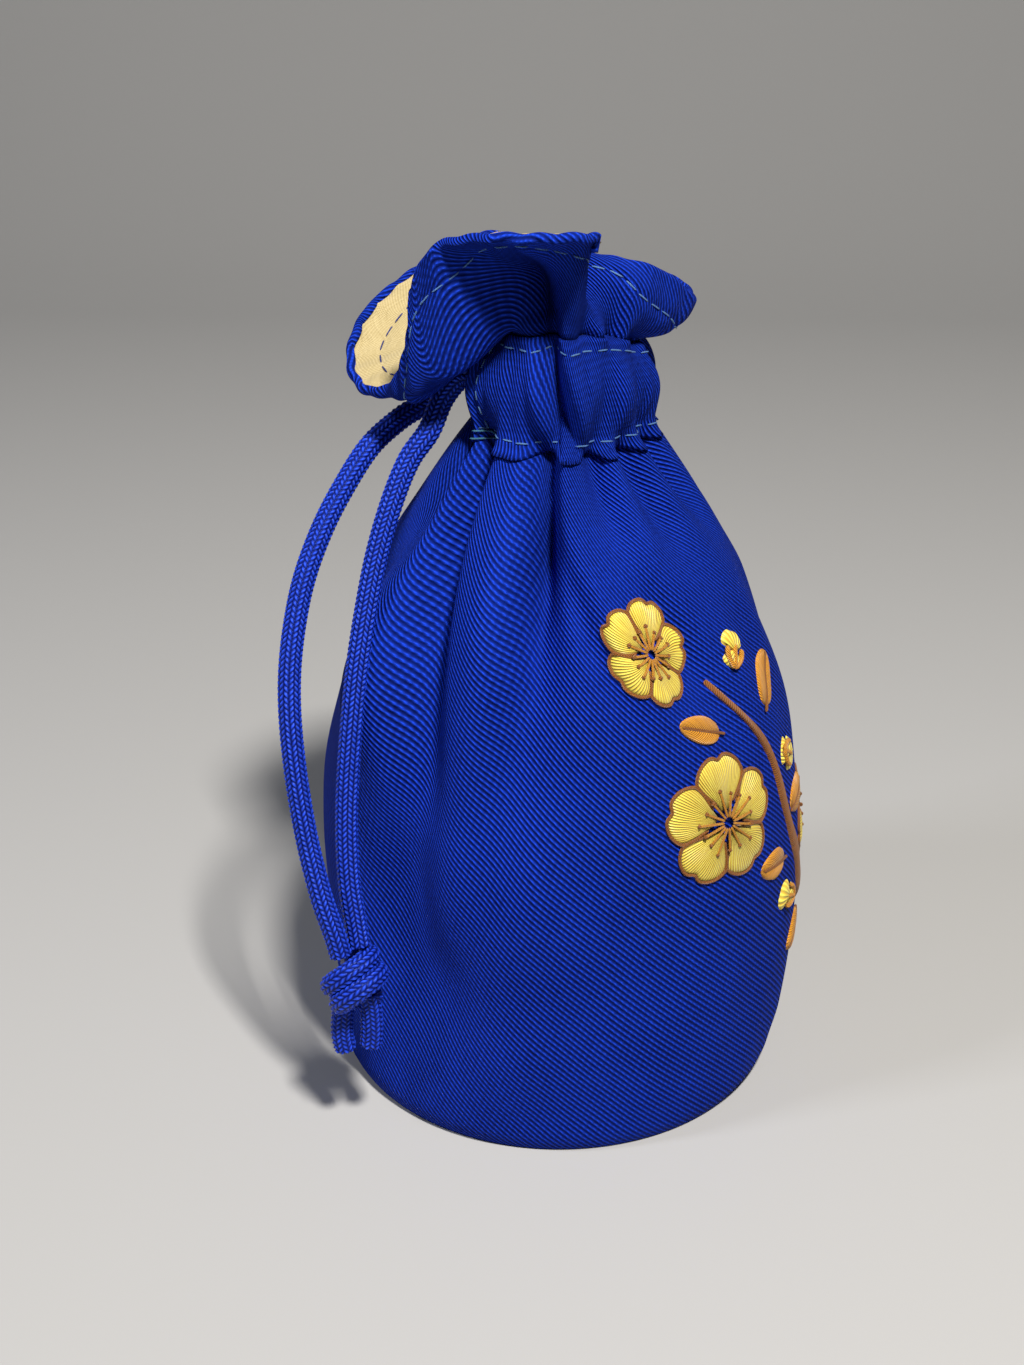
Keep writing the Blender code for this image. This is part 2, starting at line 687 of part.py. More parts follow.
def add_pad(name, across, height, faces, edge, finish):
    """A raised field of thread: a flat patch of the motif, laid on the cloth and given its thickness."""
    low = motif_points(across, height, -LAYER_GAP)
    high = motif_points(across, height, -LAYER_GAP - PAD_THICKNESS)
    count = len(low)
    walls = []
    for here, after in zip(edge, edge[1:] + edge[:1]):
        walls.append((here, after, count + after, count + here))
    upper = [tuple(count + corner for corner in face) for face in faces]
    lower = [tuple(reversed(face)) for face in faces]
    return add_mesh(name, np.concatenate([low, high]), upper + lower + walls, finish)


def add_round_pad(name, centre, outline, turn, finish):
    """A pad with a middle: rings of an outline, given as distance by direction."""
    steps = len(outline)
    direction = np.linspace(0.0, 2.0 * math.pi, steps, endpoint=False) + math.radians(turn)
    across, height = [np.array([centre[0]])], [np.array([centre[1]])]
    for share in (0.5, 1.0):
        across.append(centre[0] + share * outline * np.cos(direction))
        height.append(centre[1] + share * outline * np.sin(direction))
    faces = []
    for step in range(steps):
        beside = (step + 1) % steps
        faces.append((0, 1 + step, 1 + beside))
        faces.append((1 + step, 1 + steps + step, 1 + steps + beside, 1 + beside))
    edge = [1 + steps + step for step in range(steps)]
    add_pad(name, np.concatenate(across) * MM, np.concatenate(height) * MM, faces, edge, finish)


def add_branch(brown):
    curve, run = smooth_path(BRANCH_ROUTE)
    share = np.linspace(0.0, 1.0, BRANCH_STEPS)
    middle = read_path(curve, run, share * run[-1])
    along = np.gradient(middle, axis=0)
    along /= np.linalg.norm(along, axis=1)[:, None]
    side = np.stack([-along[:, 1], along[:, 0]], axis=-1)
    half = (BRANCH_WIDTH + (BRANCH_TIP - BRANCH_WIDTH) * share) / MM / 2.0
    left = middle + side * half[:, None]
    right = middle - side * half[:, None]
    points = np.concatenate([right, left]) * MM
    count = BRANCH_STEPS
    faces = [(step, step + 1, count + step + 1, count + step) for step in range(count - 1)]
    edge = list(range(count)) + [2 * count - 1 - step for step in range(count)]
    add_pad("branch", points[:, 0], points[:, 1], faces, edge, brown)


def add_embroidery(gold, orange, brown):
    add_branch(brown)
    angle = np.linspace(0.0, 2.0 * math.pi, BLOSSOM_STEPS, endpoint=False)
    for name, across, height, radius, turn in BLOSSOMS:
        petals = radius * (PETAL_NOTCH + (1.0 - PETAL_NOTCH) * np.abs(np.cos(2.5 * angle)))
        add_round_pad(name, (across, height), petals, turn, gold)
    angle = np.linspace(0.0, 2.0 * math.pi, LEAF_STEPS, endpoint=False)
    for name, across, height, radius, turn in BUDS:
        drop = radius * (BUD_TAPER + (1.0 - BUD_TAPER) * np.cos(angle))
        add_round_pad(name, (across, height), drop, turn, orange)
    for name, across, height, length, width, turn in LEAVES:
        pointed = 1.0 / np.hypot(np.cos(angle) / (length / 2.0), np.sin(angle) / width)
        add_round_pad(name, (across, height), pointed, turn, orange)


def add_bartacks(pale):
    """Dense short stitches where the casing's lower corners take the pull of the cord."""
    columns = casing_columns()
    face = np.array([casing_row(columns, row, TWILL_THICKNESS) for row in CASING_ROWS[:2]])
    for name, edge in (("bartack_front", face), ("bartack_back", face[:, ::-1])):
        run = np.concatenate([[0.0], np.cumsum(np.linalg.norm(np.diff(edge[0], axis=0), axis=1))])
        ends = np.array([BARTACK_INSET, BARTACK_INSET + BARTACK_LENGTH])
        between = run[(run > ends[0]) & (run < ends[1])]
        stations = np.concatenate([ends[:1], between, ends[1:]])
        low = read_path(edge[0], run, stations)
        high = low + BARTACK_RISE * (read_path(edge[1], run, stations) - low)
        inner = np.array([low, high])
        outward = inner * (1.0, 1.0, 0.0)
        outward /= np.linalg.norm(outward, axis=-1)[..., None]
        lower = inner + outward * BARTACK_GAP
        add_wall(name, lower + outward * BARTACK_THICKNESS, lower, pale, closed=False)


def main():
    for old in list(bpy.data.objects):
        bpy.data.objects.remove(old, do_unlink=True)
    twill = material("royal_blue_twill", ROYAL_BLUE, 0.85)
    lining = material("natural_lining", NATURAL, 0.9)
    cord = material("braided_cord", CORD_BLUE, 0.5)
    gold = material("gold_thread", THREAD_GOLD, 0.45)
    orange = material("orange_thread", THREAD_ORANGE, 0.45)
    brown = material("brown_thread", THREAD_BROWN, 0.5)
    pale = material("pale_blue_thread", THREAD_PALE, 0.5)
    add_side_panels(twill, lining)
    add_bases(twill, lining)
    add_casing(twill)
    add_cords(cord)
    add_knot(cord)
    add_embroidery(gold, orange, brown)
    add_bartacks(pale)


main()
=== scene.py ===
"""Looks of the lined drawstring pouch: cloth, braided cord, stitching and embroidery.

The cloth follows the same surface as the solids, cut finer. It is a function of two values:
the cloth azimuth, in degrees round the base, and the height up the cloth. Azimuth 0 is the
front, -Y, and +90 is +X. Lengths are metres unless a name says mm.
"""

import math

import bpy
import numpy as np
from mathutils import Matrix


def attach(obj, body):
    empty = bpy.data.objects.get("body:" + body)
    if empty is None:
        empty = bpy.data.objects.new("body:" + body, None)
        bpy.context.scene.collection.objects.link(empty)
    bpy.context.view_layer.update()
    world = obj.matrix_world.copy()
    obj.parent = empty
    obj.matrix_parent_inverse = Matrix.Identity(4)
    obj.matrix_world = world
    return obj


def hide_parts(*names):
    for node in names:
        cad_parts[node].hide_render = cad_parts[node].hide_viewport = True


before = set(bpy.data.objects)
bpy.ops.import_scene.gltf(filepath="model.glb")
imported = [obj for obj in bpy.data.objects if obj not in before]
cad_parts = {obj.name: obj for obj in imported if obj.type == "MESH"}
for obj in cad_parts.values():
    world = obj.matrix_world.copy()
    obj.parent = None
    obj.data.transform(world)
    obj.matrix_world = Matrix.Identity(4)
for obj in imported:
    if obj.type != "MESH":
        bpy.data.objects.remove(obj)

bl_info = {
    "name": "Drawstring pouch looks",
    "version": (1, 0, 0),
    "blender": (4, 5, 0),
    "location": "3D View > Sidebar > Pouch",
    "description": "Dresses the solids of a lined drawstring pouch",
    "category": "Object",
}

MM = 0.001

# The surface of the cloth, as the solids have it
TWILL_THICKNESS = 0.6 * MM
LINING_THICKNESS = 0.4 * MM
LAYER_GAP = 0.25 * MM
LINING_YARN_MM = 0.62
# Share of a step along or up the cloth that lies across its diagonal
DIAGONAL = 0.7071
LINING_DEPTH = TWILL_THICKNESS + LAYER_GAP + LINING_THICKNESS
BODY_RADIUS = 46.3 * MM
SHOULDER_HEIGHT = 48.0 * MM
NECK_HEIGHT = 139.0 * MM
NECK_RADIUS = 15.6 * MM
SHOULDER_FULLNESS = 2.35
SEAM_HEIGHT = 5.0 * MM
SEAM_INSET = 1.7 * MM
NECK_TOP_HEIGHT = 157.0 * MM
NECK_TOP_RADIUS = 14.5 * MM
CINCH = 4.2 * MM
NECK_OPENING = 0.35
LEFT_DIP = 5.0 * MM
LEFT_DIP_WIDTH = 24.0
RIGHT_DIP = 4.0 * MM
RIGHT_DIP_WIDTH = 34.0

# Folds: cloth azimuth, azimuth at the neck, depth, half width, height where it runs out
FOLDS = (
    (-160.0, -172.0, 8.0, 6.5, 113.0),
    (-132.0, -138.0, 8.5, 7.0, 98.0),
    (-100.0, -105.0, 7.5, 6.0, 112.0),
    (-58.0, -75.0, 7.0, 6.0, 108.0),
    (-35.0, -59.0, 13.0, 5.5, 62.0),
    (0.0, -9.0, 14.0, 5.0, 84.0),
    (34.0, 18.0, 8.0, 6.0, 117.0),
    (60.0, 43.0, 8.5, 6.0, 112.0),
    (86.0, 68.0, 8.0, 6.0, 115.0),
    (114.0, 95.0, 8.5, 6.5, 105.0),
    (143.0, 125.0, 8.0, 6.0, 112.0),
    (172.0, 155.0, 8.5, 6.5, 100.0),
)
FOLD_FULL_HEIGHT = 133.0 * MM
FOLD_LIMIT = 0.40
GATHER_FULLNESS = 1.6
STEEPEST_FLANK = 1.35
PROFILE_LEAN = 0.5
SLOPE_TURN = 0.5
SLOPE_STEP = 0.01
LEAST_LEAN = 0.01
RUFFLE_EASE = 0.6
SQUARE_FROM = 0.15
LINING_EASE = 0.9 * MM
PLEAT_EASE = 2.2
LOWER_REACH = (0.33, 0.08)
UPPER_REACH = (0.67, 0.50)
LOWER_CLIMB = 0.5
UPPER_CLIMB = 0.92
BELLY_CLIMB_LOSS = 0.55
UPPER_DROP = 0.5
LOWER_LIFT = 1.5 * MM
UPPER_LIFT = 1.0 * MM
PATH_STEPS = 24
# The ruffle bellies out to the left and the right: azimuths where it starts, is full and ends,
# how full, and how far it sags in mm
BELLIES = (
    (-24.0, -50.0, -150.0, 1.0, 8.0),
    (-26.0, -54.0, -86.0, 0.0, 6.5),
    (46.0, 72.0, 150.0, 0.8, 2.8),
)
BELLY_LOWER = 0.40
BELLY_UPPER = 0.30
# Hollows and swells of the ruffle, in mm: cloth azimuth, half width in degrees, share of the way
# up, its half height, and depth inwards
RUFFLE_DENTS = (
    (-3.0, 10.5, 0.32, 0.24, 7.5),
    (-38.0, 15.0, 0.50, 0.40, -3.0),
    (22.0, 9.0, 0.45, 0.40, -1.6),
    (46.0, 9.0, 0.45, 0.35, 3.0),
    (72.0, 16.0, 0.55, 0.40, -2.0),
    (128.0, 14.0, 0.50, 0.40, 2.5),
    (-150.0, 14.0, 0.50, 0.40, 2.5),
)
DENTS_START = 0.12
DENTS_END = 1.15
DENTS_FADE = 0.35

# The rim's hem: the roll's radius, its pull at the stitches and the puckers between them
HEM_ROLL = 0.85 * MM
HEM_TUCK = 0.6 * MM
HEM_EDGE = 0.9 * MM
HEM_DENT = 0.3 * MM
LINING_HEM_DENT = 0.25 * MM
HEM_DENT_WIDTH = 1.3 * MM
PUCKERS = 41.0
PUCKER_REACH = 7.0 * MM
PUCKER_SWING = 0.18 * MM

# Soft dents and swells that the solids leave out, in mm: cloth azimuth (degrees), height,
# half width, half height, lean of the dent per mm of height, and depth inwards
CREASES = (
    (-14.0, 108.0, 6.0, 24.0, -0.05, -2.2),
    (-40.0, 114.0, 4.0, 18.0, 0.05, 6.0),
    (-1.0, 116.0, 4.0, 14.0, 0.10, 6.0),
    (-54.0, 94.0, 11.0, 16.0, 0.10, -5.0),
    (-42.0, 58.0, 9.0, 22.0, 0.25, 5.5),
    (-36.0, 30.0, 13.0, 18.0, 0.10, 4.5),
    (-14.0, 58.0, 12.0, 26.0, 0.10, -1.8),
    (-35.0, 86.0, 6.5, 22.0, -0.02, 3.2),
    (-8.0, 88.0, 6.5, 30.0, 0.22, 4.4),
    (-15.0, 100.0, 5.0, 22.0, 0.10, -1.6),
    (-68.0, 108.0, 5.0, 16.0, 0.10, 1.4),
    (-14.0, 20.0, 22.0, 12.0, 0.00, -1.2),
    (12.0, 113.0, 4.0, 11.0, -0.45, 2.4),
    (24.0, 106.0, 5.0, 14.0, -0.50, -2.0),
    (44.0, 104.0, 4.5, 13.0, -0.35, 2.2),
    (30.0, 82.0, 16.0, 20.0, -0.30, -1.0),
    (73.0, 100.0, 5.0, 14.0, -0.20, 1.0),
    (88.0, 42.0, 34.0, 42.0, 0.00, -3.2),
    (-60.0, 30.0, 20.0, 16.0, 0.00, -1.6),
    (-84.0, 60.0, 22.0, 30.0, 0.00, -1.6),
    (-80.0, 96.0, 5.5, 16.0, 0.20, 0.9),
    (100.0, 92.0, 6.0, 16.0, -0.15, 0.8),
    (128.0, 96.0, 5.0, 14.0, 0.10, 0.8),
    (157.0, 94.0, 6.0, 18.0, 0.0, 0.9),
    (-146.0, 92.0, 6.0, 18.0, 0.1, 0.8),
    (-116.0, 94.0, 6.0, 16.0, 0.1, 0.8),
)
# Slow waves of the cloth: turns round the body, a wave's height and its swing in mm, its start
WAVES = (
    (5.0, 60.0, 0.25, 0.7),
    (8.0, -85.0, 0.20, 2.1),
    (13.0, 48.0, 0.12, 4.0),
    (21.0, -34.0, 0.07, 5.2),
)
RELIEF_FOOT = 12.0 * MM
RELIEF_FADES_FROM = 112.0 * MM
RELIEF_FADE = 22.0 * MM

# The rim's line through the air, in mm, and the points of it that lie at cloth azimuths
RIM_ANCHORS = ((0, -92.0), (9, 28.0), (12, 46.0), (17, 98.0), (22, 188.0))
RIM_POINTS = (
    (-40.4, 0.5, 146.2),
    (-36.8, -6.5, 143.8),
    (-31.2, -12.6, 147.0),
    (-27.6, -17.2, 157.0),
    (-26.2, -19.0, 167.4),
    (-22.2, -21.6, 173.4),
    (-14.0, -24.8, 175.8),
    (-5.0, -26.4, 176.2),
    (1.6, -25.8, 176.2),
    (5.0, -22.4, 175.4),
    (4.0, -17.0, 174.0),
    (-2.6, -12.0, 172.4),
    (-6.0, -7.4, 170.4),
    (-2.6, -4.2, 170.0),
    (5.0, -5.0, 169.6),
    (13.6, -6.0, 167.6),
    (20.4, -3.0, 163.4),
    (24.2, 4.0, 158.0),
    (23.4, 12.5, 158.2),
    (18.0, 20.0, 159.0),
    (9.5, 24.5, 159.0),
    (2.0, 22.5, 160.5),
    (-5.5, 20.0, 163.2),
    (-13.6, 22.0, 165.2),
    (-21.0, 20.5, 162.6),
    (-28.6, 16.8, 159.4),
    (-35.8, 12.0, 155.2),
    (-39.8, 6.2, 151.0),
)

# The casing band: its ends' azimuths, its edges as shares of the neck, and its tunnel
CASING_FRONT = -66.0
CASING_BACK = 248.0
CASING_LOW = -0.24
CASING_HIGH = 0.95
LOOP_LEVEL = 0.49
TUNNEL_RADIUS = 16.4 * MM
TUNNEL_PUFF = 0.7 * MM
TUNNEL_FULLNESS = 0.55
RIPPLE_DEPTH = 6.0 * MM
MOUTH_FLARE = 2.0 * MM
MOUTH_WIDTH = 9.0
# Folds of the band itself: azimuth, depth in mm, half width in degrees, lean down the band
BAND_FOLDS = (
    (-3.0, 5.4, 6.5, 14.0),
    (30.0, 2.2, 7.0, -6.0),
    (58.0, 1.6, 7.0, 6.0),
    (-34.0, 0.7, 9.0, 0.0),
    (96.0, 1.8, 8.0, 4.0),
    (130.0, 1.6, 8.0, -4.0),
    (166.0, 1.8, 8.0, 4.0),
    (204.0, 1.6, 8.0, -6.0),
)
# Each fold of the band stands between two low shoulders: their height, place and half width
SHOULDER_SHARE = 0.35
SHOULDER_PLACE = 1.9
SHOULDER_WIDTH = 0.8
CASING_SEAMS = (0.14, 0.88)
CASING_SEAM_WIDTH = 0.07
CASING_SEAM_DENT = 0.25 * MM
CASING_PUCKERS = 46.0
CASING_PUCKER_SWING = 0.14 * MM
CASING_WIDTH_MM = 17.0

# The cord's routes, in mm, as the solids have them
CORD_DIAMETER = 4.2 * MM
# The braid: columns of picks round the cord, a pick's length, its lean and its roundness
BRAID_COLUMNS = 12.0
BRAID_PICK_MM = 1.05
BRAID_LEAN = 0.85
BRAID_CROWN = 0.7
BRAID_GAP = 0.55
BRAID_RELIEF = 0.42 * MM
BRAID_MEAN = 0.62
LEAST_GIRTH = 0.02
CORD_LOOP_RADIUS = 13.35 * MM
LOOP_OVERRUN = 4.0
LOOP_STEPS = 49
FRONT_ROUTE = (
    (-16.1, -5.1, 146.6),
    (-19.1, -4.2, 145.7),
    (-22.2, -5.0, 142.0),
    (-24.7, -7.5, 136.6),
    (-28.3, -9.5, 131.7),
    (-31.3, -12.5, 124.9),
    (-34.0, -16.0, 116.3),
    (-35.9, -19.5, 107.5),
    (-37.6, -23.5, 97.2),
    (-38.8, -27.0, 86.4),
    (-39.7, -30.0, 75.2),
    (-40.0, -32.8, 65.7),
    (-39.6, -35.4, 56.1),
    (-38.5, -37.4, 48.4),
    (-37.7, -38.8, 43.7),
)
BACK_ROUTE = (
    (-16.1, 4.8, 146.6),
    (-19.1, 3.5, 145.7),
    (-22.4, 2.6, 142.6),
    (-25.8, 2.2, 139.0),
    (-30.7, 0.6, 136.2),
    (-36.2, -3.4, 132.0),
    (-41.2, -8.0, 125.0),
    (-44.8, -12.4, 118.6),
    (-47.7, -17.0, 111.3),
    (-49.4, -21.0, 103.8),
    (-50.3, -25.0, 95.6),
    (-50.2, -28.5, 86.8),
    (-49.1, -31.8, 75.8),
    (-47.2, -35.0, 64.4),
    (-44.6, -38.6, 54.6),
    (-42.2, -40.6, 47.6),
    (-41.0, -41.3, 43.2),
)
# The knot's axis is tipped left and away from the camera
KNOT_CENTRE = (-38.6, -40.4, 36.8)
KNOT_AXIS = (-0.46, 0.40, 0.80)
KNOT_TURNS = 2.25
KNOT_START = math.radians(35.0)
KNOT_INNER = 1.6 * MM
KNOT_OUTER = 4.5 * MM
KNOT_RISE = 8.6 * MM
KNOT_EASE = 0.14
KNOT_STEPS = 600
TAIL_CLOSING = 0.5 * MM
FRONT_TAIL = (
    (-36.4, -40.2, 34.0),
    (-35.9, -40.0, 30.4),
    (-35.8, -40.2, 25.4),
    (-36.2, -40.2, 21.4),
)
BACK_TAIL = (
    (-40.6, -40.6, 34.0),
    (-41.2, -40.6, 30.4),
    (-41.6, -40.8, 25.2),
    (-41.0, -41.0, 20.8),
)

# Sewing thread: rings and sides of a stitch, its dip at both ends, and its half height, as
# shares of its width
THREAD_RINGS = 7
THREAD_SIDES = 8
THREAD_DIP = 0.55
THREAD_FLATNESS = 0.42
# Rows of stitches: how far each is sunk into the cloth or lifted off it
RIM_ROW_LIFT = -0.2 * MM
LINING_ROW_LIFT = -0.1 * MM
CASING_ROW_LIFT = -0.1 * MM
CASING_END_LIFT = 0.15 * MM
CASING_ROWS_AT = (0.12, 0.90)
BARTACK_RISE = (0.03, 0.10)
BARTACK_LIFT = 0.35 * MM
BARTACK_LENGTH = 2.0 * MM
BARTACK_WIDTH = 0.32 * MM

# Embroidery, in mm of cloth from the motif's azimuth and mm of height. Blossoms and buds: place,
# radius and turn. Leaves: place, length, half width and turn
MOTIF_AZIMUTH = 54.0
BRANCH_ROUTE = ((36.0, 24.0), (26.5, 36.0), (18.5, 50.0), (12.5, 64.0), (7.5, 80.0), (-3.0, 96.0))
BRANCH_WIDTH = 3.6
BRANCH_TIP = 1.2
PETALS = 5
PETAL_SPREAD = 35.0
PETAL_START = 0.16
PETAL_ROUNDING = 0.20
PETAL_NOTCH = 0.07
PETAL_NOTCH_WIDTH = 0.16
PETAL_WAIST = 0.62
PETAL_SWELL = 0.40
PETAL_WIDEST = 0.62
# Couched threads, in mm: radius and lift over the cloth
PETAL_EDGE = (0.34, 0.22)
STAMEN_LIFT = 0.95
STAMEN_RADIUS = 0.26
STAMEN_KNOT = 0.55
SEPAL = (0.5, 0.7)
LEAF_RIB = (0.3, 0.5)
STAMENS = 15
BLOSSOMS = (
    ("blossom_large", -8.0, 70.0, 13.0, 12.0),
    ("blossom_low", 34.0, 51.0, 10.5, 40.0),
    ("blossom_high", -13.5, 104.0, 9.0, -10.0),
)
BUDS = (
    ("bud_right", 17.5, 73.0, 4.2, -35.0),
    ("bud_low", 12.5, 43.0, 3.8, 150.0),
    ("bud_top", 5.5, 99.5, 3.6, 60.0),
)
LEAVES = (
    ("leaf_top", 14.5, 90.5, 11.0, 3.2, 50.0),
    ("leaf_left", -8.5, 88.5, 10.0, 2.6, 155.0),
    ("leaf_middle", 21.5, 62.0, 10.0, 3.2, 12.0),
    ("leaf_inner", 5.5, 54.0, 10.0, 3.2, 168.0),
    ("leaf_low", 39.0, 34.5, 10.0, 3.2, 24.0),
    ("leaf_foot", 20.5, 29.5, 10.0, 3.2, 200.0),
)

# Rows of the body's cloth, in mm up it, and how the foot's edge is tucked under
FOOT_ROWS_MM = (0.3, 1.2, 2.5, 4.0)
BODY_RISE_MM = (6.0, 139.0)
LINING_RISE_MM = (2.2, 139.0)
FOOT_TUCK = (0.985, 0.985, 1.0)

# How finely the looks are cut
TRACK_COLUMNS = 1440
TRACK_ROWS = 50
CASING_COLUMNS = 420
CASING_ROWS = 30
BASE_COLUMNS = 144
COLUMNS = 480
OUTER_BODY_ROWS = 96
LINING_BODY_ROWS = 24
NECK_STEPS = 10
RUFFLE_STEPS = 58
ROLL_STEPS = 9

# Camera, worked out from the picture: focal length in pixels of a frame's height, and its stand
FOCAL_PIXELS = 1971.0
FRAME_PIXELS = 1365.0
SENSOR_MM = 36.0
CAMERA_PLACE = (0.0, -354.0 * MM, 257.0 * MM)
CAMERA_DOWN = 26.4
CAMERA_TURN = 1.54

# Lamps: azimuth and elevation in degrees, distance and size in metres, watts and colour
LAMPS = (
    ("key", 20.0, 58.0, 0.85, 0.09, 12.4, "#FFF9F0"),
    ("side", -65.0, 45.0, 0.9, 0.14, 2.2, "#F4F6FF"),
)
LAMP_AIM = (0.0, 0.0, 0.09)
WORLD_STRENGTH = 0.03


def linear(code):
    """A hex colour as a screen shows it, turned into the linear values that shaders take."""
    parts = [int(code[place : place + 2], 16) / 255.0 for place in (1, 3, 5)]
    return tuple(c / 12.92 if c <= 0.04045 else ((c + 0.055) / 1.055) ** 2.4 for c in parts)


def smoothstep(value):
    """0 to 1 with a level start and end: 3 v squared less 2 v cubed."""
    value = np.clip(value, 0.0, 1.0)
    return value * value * (3.0 - 2.0 * value)


def unit(vectors):
    """Each vector over its own length."""
    return vectors / np.maximum(np.linalg.norm(vectors, axis=-1), 1e-12)[..., None]


# Surface of the cloth


def neck_azimuth(cloth):
    """Azimuth at the neck of each cloth azimuth, smoothed a few degrees either side."""
    table = np.array(FOLDS)
    at_base = np.concatenate([table[:, 0] - 360.0, table[:, 0], table[:, 0] + 360.0])
    at_neck = np.concatenate([table[:, 1] - 360.0, table[:, 1], table[:, 1] + 360.0])
    steps = (-4.0, -2.0, 0.0, 2.0, 4.0)
    return sum(np.interp(cloth + step, at_base, at_neck) for step in steps) / len(steps)


def cloth_azimuth(neck):
    """The cloth azimuth that lies at an azimuth of the neck."""
    cloth = np.linspace(-540.0, 540.0, 4321)
    return np.interp(neck, neck_azimuth(cloth), cloth)


def body_radius(height):
    """A cylinder with a turned-in foot, then a dome in to the neck."""
    dome = np.clip((height - SHOULDER_HEIGHT) / (NECK_HEIGHT - SHOULDER_HEIGHT), 0.0, 1.0)
    foot = np.clip(1.0 - height / SEAM_HEIGHT, 0.0, 1.0)
    return BODY_RADIUS - (BODY_RADIUS - NECK_RADIUS) * dome**SHOULDER_FULLNESS - SEAM_INSET * foot**2


def neck_radius(share):
    """A cone up the neck, drawn in by half a sine where the cord cinches it."""
    return NECK_RADIUS + (NECK_TOP_RADIUS - NECK_RADIUS) * share - CINCH * np.sin(math.pi * share)


def turn_between(azimuth, centre):
    """Turn from the centre to an azimuth, -180 to 180 degrees."""
    return (azimuth - centre + 180.0) % 360.0 - 180.0


def neck_top(azimuth):
    """Height of the neck's top: level, with a bell-shaped dip left and right."""
    left = LEFT_DIP * np.exp(-((turn_between(azimuth, -90.0) / LEFT_DIP_WIDTH) ** 2))
    right = RIGHT_DIP * np.exp(-((turn_between(azimuth, 85.0) / RIGHT_DIP_WIDTH) ** 2))
    return NECK_TOP_HEIGHT - left - right


def small_relief(cloth, height):
    """Depth of the creases and slow waves: bells and sines of the place on the cloth."""
    total = np.zeros(np.broadcast(cloth, height).shape)
    for azimuth, level, width, reach, lean, depth in CREASES:
        up = height / MM - level
        across = np.radians(turn_between(cloth, azimuth)) * BODY_RADIUS / MM - lean * up
        total = total + depth * np.exp(-((across / width) ** 2) - (up / reach) ** 2)
    for turns, wave, swing, phase in WAVES:
        angle = np.radians(cloth) * turns + height / MM * 2.0 * math.pi / wave + phase
        total = total + swing * np.sin(angle)
    foot = smoothstep(height / RELIEF_FOOT)
    neck = 1.0 - smoothstep((height - RELIEF_FADES_FROM) / RELIEF_FADE)
    return total * foot * neck * MM


def fold_depth(cloth, height, radius):
    """Sum of the folds at a place, each a bell across the cloth that fades out downwards."""
    total = np.zeros(np.broadcast(cloth, height).shape)
    for at_base, _, depth, width, lowest in FOLDS:
        across = np.radians(turn_between(cloth, at_base)) * BODY_RADIUS / MM
        fade = smoothstep((height - lowest * MM) / (FOLD_FULL_HEIGHT - lowest * MM))
        total = total + depth * MM * fade * np.exp(-((across / width) ** 2))
    limit = FOLD_LIMIT * radius
    return limit * np.tanh(total / limit)


def around(azimuth, radius, height):
    """Points at an azimuth, a radius and a height about the pouch's axis."""
    angle = np.radians(azimuth)
    radius, height = np.broadcast_arrays(radius, height)
    return np.stack([radius * np.sin(angle), -radius * np.cos(angle), height + 0.0 * angle], axis=-1)


def body_points(cloth, height):
    """The body: its outline's radius less the folds and the small relief."""
    rise = np.clip((height - SHOULDER_HEIGHT) / (NECK_HEIGHT - SHOULDER_HEIGHT), 0.0, 1.0)
    azimuth = cloth + (neck_azimuth(cloth) - cloth) * rise**GATHER_FULLNESS
    radius = body_radius(height)
    depth = fold_depth(cloth, height, radius) + small_relief(cloth, height)
    return around(azimuth, radius - depth, height)


def neck_points(cloth, share, folded=1.0):
    """The neck: its radius less the folds, which open towards its top."""
    azimuth = neck_azimuth(cloth)
    height = NECK_HEIGHT + (neck_top(azimuth) - NECK_HEIGHT) * share
    radius = neck_radius(share)
    eased = folded * (1.0 - NECK_OPENING * share)
    return around(azimuth, radius - eased * fold_depth(cloth, height, radius), height)


def distance_along(points):
    """Distance along a line to each of its points."""
    steps = np.linalg.norm(np.diff(points, axis=0), axis=1)
    return np.concatenate([[0.0], np.cumsum(steps)])


def smooth_path(points, closed=False, steps=PATH_STEPS):
    """Many points of a Catmull-Rom curve through a few, and the distance along it to each."""
    points = np.asarray(points, float)
    if closed:
        padded = np.concatenate([points[-1:], points, points[:2]])
    else:
        padded = np.concatenate([[2.0 * points[0] - points[1]], points, [2.0 * points[-1] - points[-2]]])
    before, start, end, after = (
        side[:, None, :] for side in (padded[:-3], padded[1:-2], padded[2:-1], padded[3:])
    )
    t = (np.arange(steps) / steps)[None, :, None]
    curve = 0.5 * (
        2.0 * start
        + (end - before) * t
        + (2.0 * before - 5.0 * start + 4.0 * end - after) * t**2
        + (3.0 * start - before - 3.0 * end + after) * t**3
    )
    curve = np.concatenate([curve.reshape(-1, points.shape[1]), padded[-2:-1]])
    return curve, distance_along(curve)


def read_path(curve, run, distance):
    """Points of a line at distances along it, straight between its points."""
    axes = range(curve.shape[1])
    return np.stack([np.interp(distance, run, curve[:, axis]) for axis in axes], axis=-1)


def rim_points(cloth):
    """The rim's closed curve, read by distance between its anchors."""
    curve, run = smooth_path(np.array(RIM_POINTS) * MM, closed=True)
    first = RIM_ANCHORS[0][1]
    azimuths = [azimuth for _, azimuth in RIM_ANCHORS] + [first + 360.0]
    distances = [run[point * PATH_STEPS] for point, _ in RIM_ANCHORS] + [run[-1]]
    return read_path(curve, run, np.interp((cloth - first) % 360.0 + first, azimuths, distances))


def belly(azimuth):
    """How far the ruffle swings out before it climbs, 0 to 1, and how far it sags there."""
    turned = turn_between(azimuth, 0.0)
    swing = 0.0 * turned
    sag = 0.0 * turned
    for starts, full, ends, most, deep in BELLIES:
        rising = smoothstep((turned - starts) / (full - starts))
        share = rising * smoothstep((ends - turned) / (ends - full) * 2.0)
        swing = swing + most * share
        sag = sag + deep * MM * share
    return swing, sag


